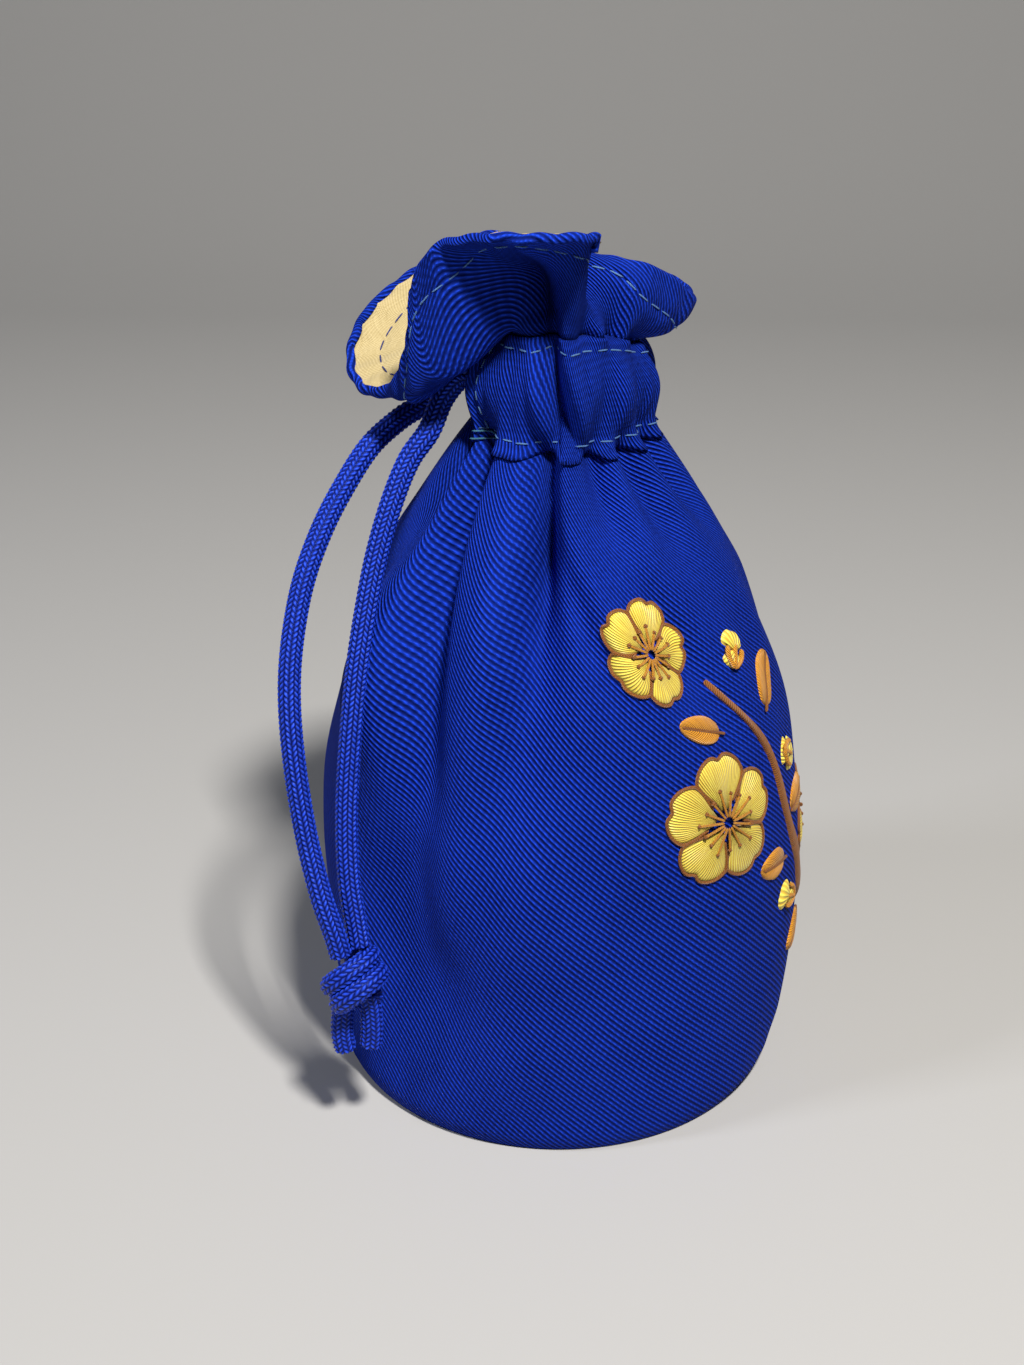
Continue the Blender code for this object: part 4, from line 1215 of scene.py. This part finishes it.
def knot_route():
    """The knot's wraps are one helix, R cos(2 pi n t), R sin(2 pi n t), h (t - 1/2), about an
    axis tipped as the knot was drawn tight, its ends drawn in to the middle."""
    t = np.linspace(0.0, 1.0, KNOT_STEPS)
    angle = 2.0 * math.pi * KNOT_TURNS * t + KNOT_START
    ease = smoothstep(np.minimum(t, 1.0 - t) / KNOT_EASE)
    radius = KNOT_INNER + (KNOT_OUTER - KNOT_INNER) * ease
    axis = unit(np.array(KNOT_AXIS))
    right = unit(np.cross((0.0, 1.0, 0.0), axis))
    back = np.cross(axis, right)
    spiral = (
        right[None, :] * (radius * np.cos(angle))[:, None]
        + back[None, :] * (radius * np.sin(angle))[:, None]
        + axis[None, :] * (KNOT_RISE * (t - 0.5))[:, None]
    )
    return spiral + np.array(KNOT_CENTRE) * MM


class POUCH_OT_cords(bpy.types.Operator):
    """Braid the drawcord: its two hanging strands, its run in the casing, and its knot."""

    bl_idname = "pouch.cords"
    bl_label = "Drawcord"

    def execute(self, context):
        finish = braid(looks_of(context))
        strands = {}
        for name, route in (("front", FRONT_ROUTE), ("back", BACK_ROUTE)):
            curve, run = smooth_path(np.array(route) * MM)
            piece, line = braided_tube(f"cord_{name}_strand", curve, finish)
            dress(piece, "braided_cord", f"drawstring_{name}_strand")
            strands[name] = (piece, line, float(run[-1]))
        loop = loop_points()
        stubs = []
        for part in (loop[:4], loop[-4:]):
            curve, _ = smooth_path(part, steps=6)
            stubs.append(braided_tube("cord_in_casing", curve, finish, sides=48, step_mm=0.3)[0])
        dress(join_pieces("cord_in_casing", stubs), "braided_cord", "drawstring_neck_loop")
        tails = []
        for name, route in (("front", FRONT_TAIL), ("back", BACK_TAIL)):
            curve, _ = smooth_path(np.array(route) * MM)
            piece_name = f"cord_{name}_end"
            tail, _ = braided_tube(piece_name, curve, finish, start_turn=0.1, closing=TAIL_CLOSING)
            dress(tail, "braided_cord", f"drawstring_{name}_end")
            tails.append(tail)
        knot, _ = braided_tube("cord_knot", knot_route(), finish)
        dress(knot, "braided_cord", "drawstring_knot")
        for name, extras in (("front", [knot] + tails), ("back", [])):
            piece, line, length = strands[name]
        return {"FINISHED"}


class POUCH_OT_outer(bpy.types.Operator):
    """Lay the outer twill over the body, the neck and the ruffle, rolled in at the rim."""

    bl_idname = "pouch.outer"
    bl_label = "Outer cloth"

    def execute(self, context):
        looks = looks_of(context)
        heights = np.concatenate([FOOT_ROWS_MM, np.linspace(*BODY_RISE_MM, OUTER_BODY_ROWS)]) * MM
        grid = cloth_layer(cloth_columns(), heights, 0.0)
        outward = outward_normals(grid)
        grid = hem_dent(grid, outward, looks, HEM_DENT)
        grid = rolled_hem(grid, outward_normals(grid))
        tuck = grid[:1] * FOOT_TUCK
        grid = np.concatenate([tuck, grid])
        finish = twill_cloth(looks)
        piece = quad_mesh("outer_cloth", grid, cloth_uv(grid), wrap=True, material=finish)
        dress(piece, "blue_twill", "outer_side_panel")
        return {"FINISHED"}


class POUCH_OT_lining(bpy.types.Operator):
    """Hang the lining inside, one layer under the outer cloth, up to the rim."""

    bl_idname = "pouch.lining"
    bl_label = "Lining"

    def execute(self, context):
        looks = looks_of(context)
        heights = np.linspace(*LINING_RISE_MM, LINING_BODY_ROWS) * MM
        grid = cloth_layer(cloth_columns(), heights, LINING_DEPTH)
        grid = hem_dent(grid, -outward_normals(grid), looks, LINING_HEM_DENT)
        finish = plain_cloth(looks)
        piece = quad_mesh("lining_cloth", grid, cloth_uv(grid), wrap=True, flip=True, material=finish)
        dress(piece, "natural_lining", "lining_side_panel")
        return {"FINISHED"}


class POUCH_OT_bases(bpy.types.Operator):
    """Cut the round bases: each is a profile turned about the pouch's axis."""

    bl_idname = "pouch.bases"
    bl_label = "Bases"

    def execute(self, context):
        twill = bpy.data.materials["royal_blue_cotton_twill"]
        lining = bpy.data.materials["natural_cotton_lining"]
        for name, radius, low, thick, finish, slot, solid in (
            ("outer_base_cloth", 43.75, 0.0, 1.0, twill, "blue_twill", "outer_base"),
            ("lining_base_cloth", 43.5, 1.25, 0.4, lining, "natural_lining", "lining_base"),
        ):
            edge = min(thick / 2.0, 0.4)
            high = low + thick
            profile = np.array((
                (0.01, low),
                (radius * 0.5, low),
                (radius - 2.0, low),
                (radius - edge, low + edge * 0.2),
                (radius, low + edge),
                (radius, high - edge),
                (radius - edge, high),
                (radius - 2.0, high),
                (radius * 0.5, high),
                (0.01, high),
            )) * MM
            angle = np.linspace(0.0, 360.0, BASE_COLUMNS, endpoint=False)
            grid = around(angle[None, :], profile[:, :1], profile[:, 1:])
            uv = np.concatenate([grid, grid[:, :1]], axis=1)[..., :2] / MM
            piece = quad_mesh(name, grid, uv, wrap=True, material=finish)
            dress(piece, slot, solid)
        return {"FINISHED"}


class POUCH_OT_casing(bpy.types.Operator):
    """Sew the casing band round the neck: two stitched edges and a tunnel for the cord."""

    bl_idname = "pouch.casing"
    bl_label = "Casing"

    def execute(self, context):
        columns = np.linspace(*casing_ends(), CASING_COLUMNS)
        shares = np.linspace(0.0, 1.0, CASING_ROWS)
        outer = np.array([casing_row(columns, share, TWILL_THICKNESS) for share in shares])
        inner = np.array([casing_row(columns, share, 0.0) for share in shares])
        pucker = np.sin(np.radians(columns) * CASING_PUCKERS)[None, :] * CASING_PUCKER_SWING
        near = sum(np.exp(-(((shares - seam) / CASING_SEAM_WIDTH) ** 2)) for seam in CASING_SEAMS)
        lift = pucker * (1.0 - near[:, None]) - near[:, None] * CASING_SEAM_DENT
        outer = outer + unit(outer * (1.0, 1.0, 0.0)) * lift[..., None]
        ring = np.concatenate([outer, inner[::-1]])
        middle = (outer + inner) / 2.0
        middle = np.concatenate([middle, middle[::-1]])
        grid = np.concatenate([middle[:, :1], ring, middle[:, -1:]], axis=1).transpose(1, 0, 2)
        over = np.radians(np.pad(columns, 1, mode="edge")) * BODY_RADIUS / MM
        up = shares * CASING_WIDTH_MM
        up = np.concatenate([up, CASING_WIDTH_MM + 1.0 + up, [2.0 * CASING_WIDTH_MM + 2.0]])
        uv = np.stack(np.broadcast_arrays(over[:, None], up[None, :]), axis=-1)
        finish = bpy.data.materials["royal_blue_cotton_twill"]
        piece = quad_mesh("casing_cloth", grid, uv, wrap=True, flip=True, material=finish)
        dress(piece, "blue_twill", "cord_casing")
        return {"FINISHED"}


def ruffle_track(inset, depth, sense):
    """A line round the ruffle at a distance under the rim, sunk by a depth, with its normals,
    which point outwards for a sense of 1 and inwards for -1."""
    columns = np.linspace(-180.0, 180.0, TRACK_COLUMNS, endpoint=False)
    shares = np.linspace(0.0, 1.0, TRACK_ROWS)
    grid = np.array([ruffle_points(columns, np.full(TRACK_COLUMNS, share)) for share in shares])
    if depth > 0.0:
        deeper = depth + LINING_EASE * np.sin(math.pi * shares)
        grid = grid - outward_normals(grid) * deeper[:, None, None]
    up = run_up(grid)
    below = up[-1][None, :] - up
    row = np.clip((below > inset).sum(axis=0), 1, TRACK_ROWS - 1)
    pick = np.arange(TRACK_COLUMNS)
    high, low = below[row, pick], below[row - 1, pick]
    part = ((low - inset) / np.maximum(low - high, 1e-9))[:, None]
    normals = outward_normals(grid)
    points = grid[row - 1, pick] * (1.0 - part) + grid[row, pick] * part
    normal = unit(normals[row - 1, pick] * (1.0 - part) + normals[row, pick] * part) * sense
    return np.concatenate([points, points[:1]]), np.concatenate([normal, normal[:1]])


class POUCH_OT_stitching(bpy.types.Operator):
    """Sew the rows of stitches: under the rim on both faces, and along the casing's edges."""

    bl_idname = "pouch.stitching"
    bl_label = "Stitching"

    def execute(self, context):
        looks = looks_of(context)
        length, gap, width = looks.stitch_length, looks.stitch_gap, looks.stitch_width
        pale = thread("pale_blue_sewing_thread", "#2F66C8", "#6FAEF2", spacing=0.5, gloss=0.5)
        teal = thread("teal_bartack_thread", "#175F86", "#4AA3C6", spacing=0.5, gloss=0.5)
        navy = thread("navy_sewing_thread", "#101A5C", "#2B3FA8", spacing=0.5, gloss=0.5)
        for name, slot, depth, sense, lift, finish in (
            ("rim_stitches", "pale_blue_thread", 0.0, 1.0, RIM_ROW_LIFT, pale),
            ("lining_stitches", "blue_twill", LINING_DEPTH, -1.0, LINING_ROW_LIFT, navy),
        ):
            points, normals = ruffle_track(looks.hem_inset, depth, sense)
            line = stitch_line(points + normals * lift, normals, length, gap)
            dress(stitches(name, *line, length, width, finish), slot)
        first, last = casing_ends()
        columns = np.linspace(first + 0.5, last - 0.5, 900)
        made = []
        for share in CASING_ROWS_AT:
            row = casing_row(columns, share, TWILL_THICKNESS)
            above = casing_row(columns, share + 0.04, TWILL_THICKNESS) - row
            normal = unit(np.cross(np.gradient(row, axis=0), above))
            line = stitch_line(row + normal * CASING_ROW_LIFT, normal, length * 0.9, gap)
            made.append(stitches("casing_row", *line, length * 0.9, width, pale))
        for start, drift in ((first + 7.0, 1.0), (last - 7.0, -1.0)):
            row, beside = (
                np.array([
                    casing_row(np.array([place + drift * share]), share, TWILL_THICKNESS)[0]
                    for share in np.linspace(0.1, 0.92, 60)
                ])
                for place in (start, start + 1.0)
            )
            normal = unit(np.cross(beside - row, np.gradient(row, axis=0)))
            line = stitch_line(row + normal * CASING_END_LIFT, normal, length * 0.8, gap)
            made.append(stitches("casing_row", *line, length * 0.8, width, pale))
        dress(join_pieces("casing_stitches", made), "pale_blue_thread")
        for name, start, sense in (("bartack_front", first, 1.0), ("bartack_back", last, -1.0)):
            place = start + sense * np.linspace(0.6, 13.0, 16)
            low, high = (casing_row(place, share, TWILL_THICKNESS) for share in BARTACK_RISE)
            even = (np.arange(len(place) - 1) % 2 == 0)[:, None]
            begin = np.where(even, low[:-1], high[:-1])
            end = np.where(even, low[1:], high[1:])
            middle = (begin + end) / 2.0
            along = unit(end - begin)
            out = unit(middle * (1.0, 1.0, 0.0))
            out = unit(out - along * (out * along).sum(-1)[:, None])
            centres = middle + out * BARTACK_LIFT
            size = (BARTACK_LENGTH, BARTACK_WIDTH)
            piece = stitches(f"{name}_stitches", centres, along, out, *size, teal)
            dress(piece, "pale_blue_thread", name)
        return {"FINISHED"}


def motif_points(across, height, depth):
    """Points on the outer cloth, by metres of cloth from the motif's middle and height."""
    cloth = MOTIF_AZIMUTH + np.degrees(across / body_radius(height))
    return body_points(cloth, height) - depth[..., None] * profile_inward(cloth, height, "body")


def satin_field(name, across_mm, height_mm, lift_mm, uv, finish, flip=True):
    """A domed field of thread: a grid of the motif's coordinates, lifted from the cloth."""
    grid = motif_points(across_mm * MM, height_mm * MM, lift_mm * MM)
    return quad_mesh(name, grid, uv, flip=flip, material=finish)


def dome(first, second, height, foot=-0.15):
    """Lift of a stitched field over the cloth: full in its middle, sunk all round."""
    side = np.clip(1.0 - np.abs(first) ** 2.6, 0.0, 1.0) * np.clip(1.0 - np.abs(second) ** 4.0, 0.0, 1.0)
    return foot + (height - foot) * np.sqrt(side)


def petal_tip(s, radius):
    """Reach of a petal's outline, rounded at its sides and notched in its middle."""
    notch = PETAL_NOTCH * np.exp(-((s / PETAL_NOTCH_WIDTH) ** 2))
    return radius * (1.0 - PETAL_ROUNDING * np.abs(s) ** 2.6 - notch)


def petal_spread(t, half_angle):
    """Half angle of a petal, in radians, at a share of the way out from the heart."""
    swell = np.sin(math.pi * np.clip(t, 0.0, 1.0) * PETAL_WIDEST)
    return math.radians(half_angle) * (PETAL_WAIST + PETAL_SWELL * swell)


def petal(name, centre, reach, turn, half_angle, finish, height=0.95, start=PETAL_START):
    """One petal: r runs from the heart to the tip, and s from one side to the other."""
    along, over = np.linspace(0.0, 1.0, 26), np.linspace(-1.0, 1.0, 25)
    t, s = np.meshgrid(along, over, indexing="ij")
    r = reach * start + (petal_tip(s, reach) - reach * start) * t
    angle = math.radians(turn) + s * petal_spread(t, half_angle)
    across, up = centre[0] + r * np.cos(angle), centre[1] + r * np.sin(angle)
    uv = np.stack([s * reach * 0.42, r], axis=-1)
    return satin_field(name, across, up, dome(s, 2.0 * t - 1.0, height), uv, finish)


def couched(name, across_mm, height_mm, radius_mm, lift_mm, finish):
    """A twisted thread laid on the cloth along a line of the motif."""
    line = motif_points(across_mm * MM, height_mm * MM, np.full(len(across_mm), lift_mm * MM))
    run = distance_along(line)
    count = max(8, int(run[-1] / MM / 0.3))
    distance = np.linspace(0.0, run[-1], count)
    tip = np.minimum(distance, run[-1] - distance)
    girth = radius_mm * MM * np.sqrt(np.clip(tip / (radius_mm * MM), 0.02, 1.0))
    turn = np.linspace(0.0, 2.0 * math.pi, 10, endpoint=False)
    grid = rings_along(read_path(line, run, distance), girth[:, None], turn)
    over = np.linspace(0.0, 3.0, 11)[None, :] + distance[:, None] / MM * 0.9
    uv = np.stack([over, np.repeat(distance[:, None] / MM, 11, axis=1)], axis=-1)
    return quad_mesh(name, grid, uv, wrap=True, material=finish)


def blossom_field(name, across, up, radius, turn, gold, brown):
    """Five petals, each with an edging thread up one side, round its tip and down the other."""
    parts = []
    for index in range(PETALS):
        angle = turn + 360.0 / PETALS * index
        parts.append(petal(name, (across, up), radius, angle, PETAL_SPREAD, gold))
        s = np.linspace(-1.0, 1.0, 60)
        t = np.linspace(1.0, 0.25, 14)
        side = radius * (PETAL_START + 0.64 * t)
        wide = petal_spread(t, PETAL_SPREAD)
        reach = np.concatenate([side[::-1], petal_tip(s, radius) + 0.15, side])
        swing = np.concatenate([-wide[::-1], s * math.radians(PETAL_SPREAD) * 0.97, wide])
        turned = math.radians(angle) + swing
        line = (across + reach * np.cos(turned), up + reach * np.sin(turned))
        parts.append(couched(name, *line, *PETAL_EDGE, brown))
    return join_pieces(f"{name}_stitched", parts)


def stamen_threads(name, across, up, radius, turn, amber, brown):
    """Stamens of a blossom, every third a little longer, each with a knot at its tip."""
    parts = []
    for index in range(STAMENS):
        angle = math.radians(turn + 360.0 / STAMENS * index + 12.0)
        reach = radius * (0.44 if index % 3 else 0.52)
        stem = np.linspace(radius * 0.08, reach, 16)
        knot = reach + np.linspace(-0.4, 0.4, 6)
        for r, girth, finish in ((stem, STAMEN_RADIUS, amber), (knot, STAMEN_KNOT, brown)):
            line = (across + r * np.cos(angle), up + r * np.sin(angle))
            parts.append(couched(name, *line, girth, STAMEN_LIFT, finish))
    return join_pieces(f"{name}_stamens", parts)


def turned_about(across, up, turn, x, y):
    """Places x along and y across a motif piece that stands at a turn."""
    angle = math.radians(turn)
    return (
        across + x * math.cos(angle) - y * math.sin(angle),
        up + x * math.sin(angle) + y * math.cos(angle),
    )


def bud_field(name, across, up, radius, turn, gold, amber):
    """A closed bud: one wide petal, with three sepal threads over it."""
    parts = [petal(name, (across, up), radius * 1.05, turn, 80.0, gold, 1.0, -0.9)]
    for sense in (-1.0, 0.0, 1.0):
        t = np.linspace(-0.95, 0.15 if sense else 0.35, 20)
        off = sense * radius * 0.55 * np.sin(np.linspace(0.0, math.pi * 0.62, 20))
        line = turned_about(across, up, turn, radius * t, off)
        parts.append(couched(name, *line, *SEPAL, amber))
    return join_pieces(f"{name}_stitched", parts)


def leaf_field(name, across, up, length, width, turn, amber, brown):
    """Two halves of slanted thread either side of a couched rib."""
    parts = []
    t, s = np.meshgrid(np.linspace(-1.0, 1.0, 34), np.linspace(0.0, 1.0, 12), indexing="ij")
    half = width * np.sqrt(np.clip(1.0 - t**2, 0.0, 1.0)) * (1.0 - 0.18 * t)
    swell = np.sqrt(np.clip(np.sin(math.pi * (0.12 + 0.88 * s)), 0.0, 1.0))
    lift = np.where(s > 0.99, -0.15, 0.05 + 0.75 * swell * np.sqrt(1.0 - t**4))
    for sense in (-1.0, 1.0):
        x, y = t * length / 2.0, sense * half * s
        place = turned_about(across, up, turn, x, y)
        uv = np.stack([x * 0.82 - s * width * 0.9, y], axis=-1)
        parts.append(satin_field(name, *place, lift, uv, amber, flip=sense > 0.0))
    rib = np.linspace(-0.62, 0.46, 30) * length
    line = turned_about(across, up, turn, rib, 0.0)
    parts.append(couched(name, *line, *LEAF_RIB, brown))
    return join_pieces(f"{name}_stitched", parts)


def branch_field(brown):
    """A band along the branch's route that narrows to its tip and wavers a little."""
    curve, run = smooth_path(BRANCH_ROUTE)
    share = np.linspace(0.0, 1.0, 220)[:, None]
    over = np.linspace(-1.0, 1.0, 15)[None, :]
    middle = read_path(curve, run, share[:, 0] * run[-1])
    along = unit(np.gradient(middle, axis=0))
    side = np.stack([-along[:, 1], along[:, 0]], axis=-1)
    waver = 1.0 + 0.10 * np.sin(share * 34.0)
    half = (BRANCH_WIDTH + (BRANCH_TIP - BRANCH_WIDTH) * share) / 2.0 * waver
    field = middle[:, None, :] + side[:, None, :] * (half * over)[..., None]
    lift = dome(*np.broadcast_arrays(over, 2.0 * share - 1.0), 0.85)
    uv = np.stack([share * run[-1] * 0.8 + over * half * 0.8, half * over], axis=-1)
    return satin_field("branch_stitched", field[..., 0], field[..., 1], lift, uv, brown)


class POUCH_OT_embroidery(bpy.types.Operator):
    """Embroider the blossom sprig in satin stitch, each petal edged with a couched thread, and couched
    sepals and ribs laid over the buds and leaves.

    A petal is r(t, s) = r0 + (R(s) - r0) t about its blossom's heart; a leaf is two such
    halves either side of its rib; the branch is a band along its route."""

    bl_idname = "pouch.embroidery"
    bl_label = "Embroidery"

    def execute(self, context):
        gold = thread("gold_rayon_thread", "#B9780F", "#FBEE62")
        amber = thread("amber_rayon_thread", "#8E4308", "#F6AE2C")
        brown = thread("brown_rayon_thread", "#3E1C06", "#B56E22")
        for name, *place in BLOSSOMS:
            dress(blossom_field(name, *place, gold, brown), "gold_thread", name)
            dress(stamen_threads(name, *place, amber, brown), "ochre_thread")
        for name, *place in BUDS:
            dress(bud_field(name, *place, gold, amber), "gold_thread", name)
        for name, *place in LEAVES:
            dress(leaf_field(name, *place, amber, brown), "ochre_thread", name)
        dress(branch_field(brown), "ochre_thread", "branch")
        return {"FINISHED"}


class POUCH_OT_stage(bpy.types.Operator):
    """Lay the studio floor and light the pouch from above the camera and from the left."""

    bl_idname = "pouch.stage"
    bl_label = "Stage"

    def execute(self, context):
        turn = np.linspace(0.0, math.pi / 2.0, 12)
        depth = np.concatenate([[-1.6], 0.55 + 0.35 * np.sin(turn), [0.9]])
        height = np.concatenate([[0.0], 0.35 * (1.0 - np.cos(turn)), [2.2]])
        wide = np.array([[-2.2, 2.2]])
        grid = np.stack(np.broadcast_arrays(wide, depth[:, None], height[:, None]), axis=-1)
        quad_mesh("studio_floor", grid, material=studio_paper())
        for name, azimuth, elevation, distance, size, power, colour in LAMPS:
            data = bpy.data.lights.new(name, "AREA")
            data.size = size
            data.energy = power
            data.color = linear(colour)
            lamp = bpy.data.objects.new(name, data)
            a, e = math.radians(azimuth), math.radians(elevation)
            away = np.array((math.sin(a) * math.cos(e), -math.cos(a) * math.cos(e), math.sin(e)))
            lamp.location = away * distance + np.array(LAMP_AIM)
            lamp.rotation_euler = (math.radians(90.0) - e, 0.0, a)
            context.collection.objects.link(lamp)
        world = bpy.data.worlds.new("studio")
        world.use_nodes = True
        background = world.node_tree.nodes["Background"]
        background.inputs["Color"].default_value = (*linear("#DDE3EC"), 1.0)
        background.inputs["Strength"].default_value = WORLD_STRENGTH
        context.scene.world = world
        context.scene.view_settings.view_transform = "Standard"
        return {"FINISHED"}


class POUCH_PT_panel(bpy.types.Panel):
    """The pouch's sizes, colours and steps in the 3D view's sidebar."""

    bl_label = "Pouch"
    bl_idname = "POUCH_PT_panel"
    bl_space_type = "VIEW_3D"
    bl_region_type = "UI"
    bl_category = "Pouch"

    def draw(self, context):
        looks = looks_of(context)
        for name in PouchLooks.__annotations__:
            self.layout.prop(looks, name)
        for step in STEPS:
            self.layout.operator(step.bl_idname)


STEPS = (
    POUCH_OT_camera,
    POUCH_OT_cords,
    POUCH_OT_outer,
    POUCH_OT_lining,
    POUCH_OT_bases,
    POUCH_OT_casing,
    POUCH_OT_stitching,
    POUCH_OT_embroidery,
    POUCH_OT_stage,
)


def register():
    """Registers the sizes, the steps and the panel."""
    bpy.utils.register_class(PouchLooks)
    for step in STEPS:
        bpy.utils.register_class(step)
    bpy.utils.register_class(POUCH_PT_panel)
    bpy.types.Scene.pouch_looks = bpy.props.PointerProperty(type=PouchLooks)


def unregister():
    """Takes them away again."""
    del bpy.types.Scene.pouch_looks
    bpy.utils.unregister_class(POUCH_PT_panel)
    for step in reversed(STEPS):
        bpy.utils.unregister_class(step)
    bpy.utils.unregister_class(PouchLooks)


def main():
    """Dresses the pouch step by step."""
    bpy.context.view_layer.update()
    register()
    bpy.ops.pouch.camera()
    bpy.ops.pouch.cords()
    bpy.ops.pouch.outer()
    bpy.ops.pouch.lining()
    bpy.ops.pouch.bases()
    bpy.ops.pouch.casing()
    bpy.ops.pouch.stitching()
    bpy.ops.pouch.embroidery()
    bpy.ops.pouch.stage()


if __name__ == "__main__":
    main()
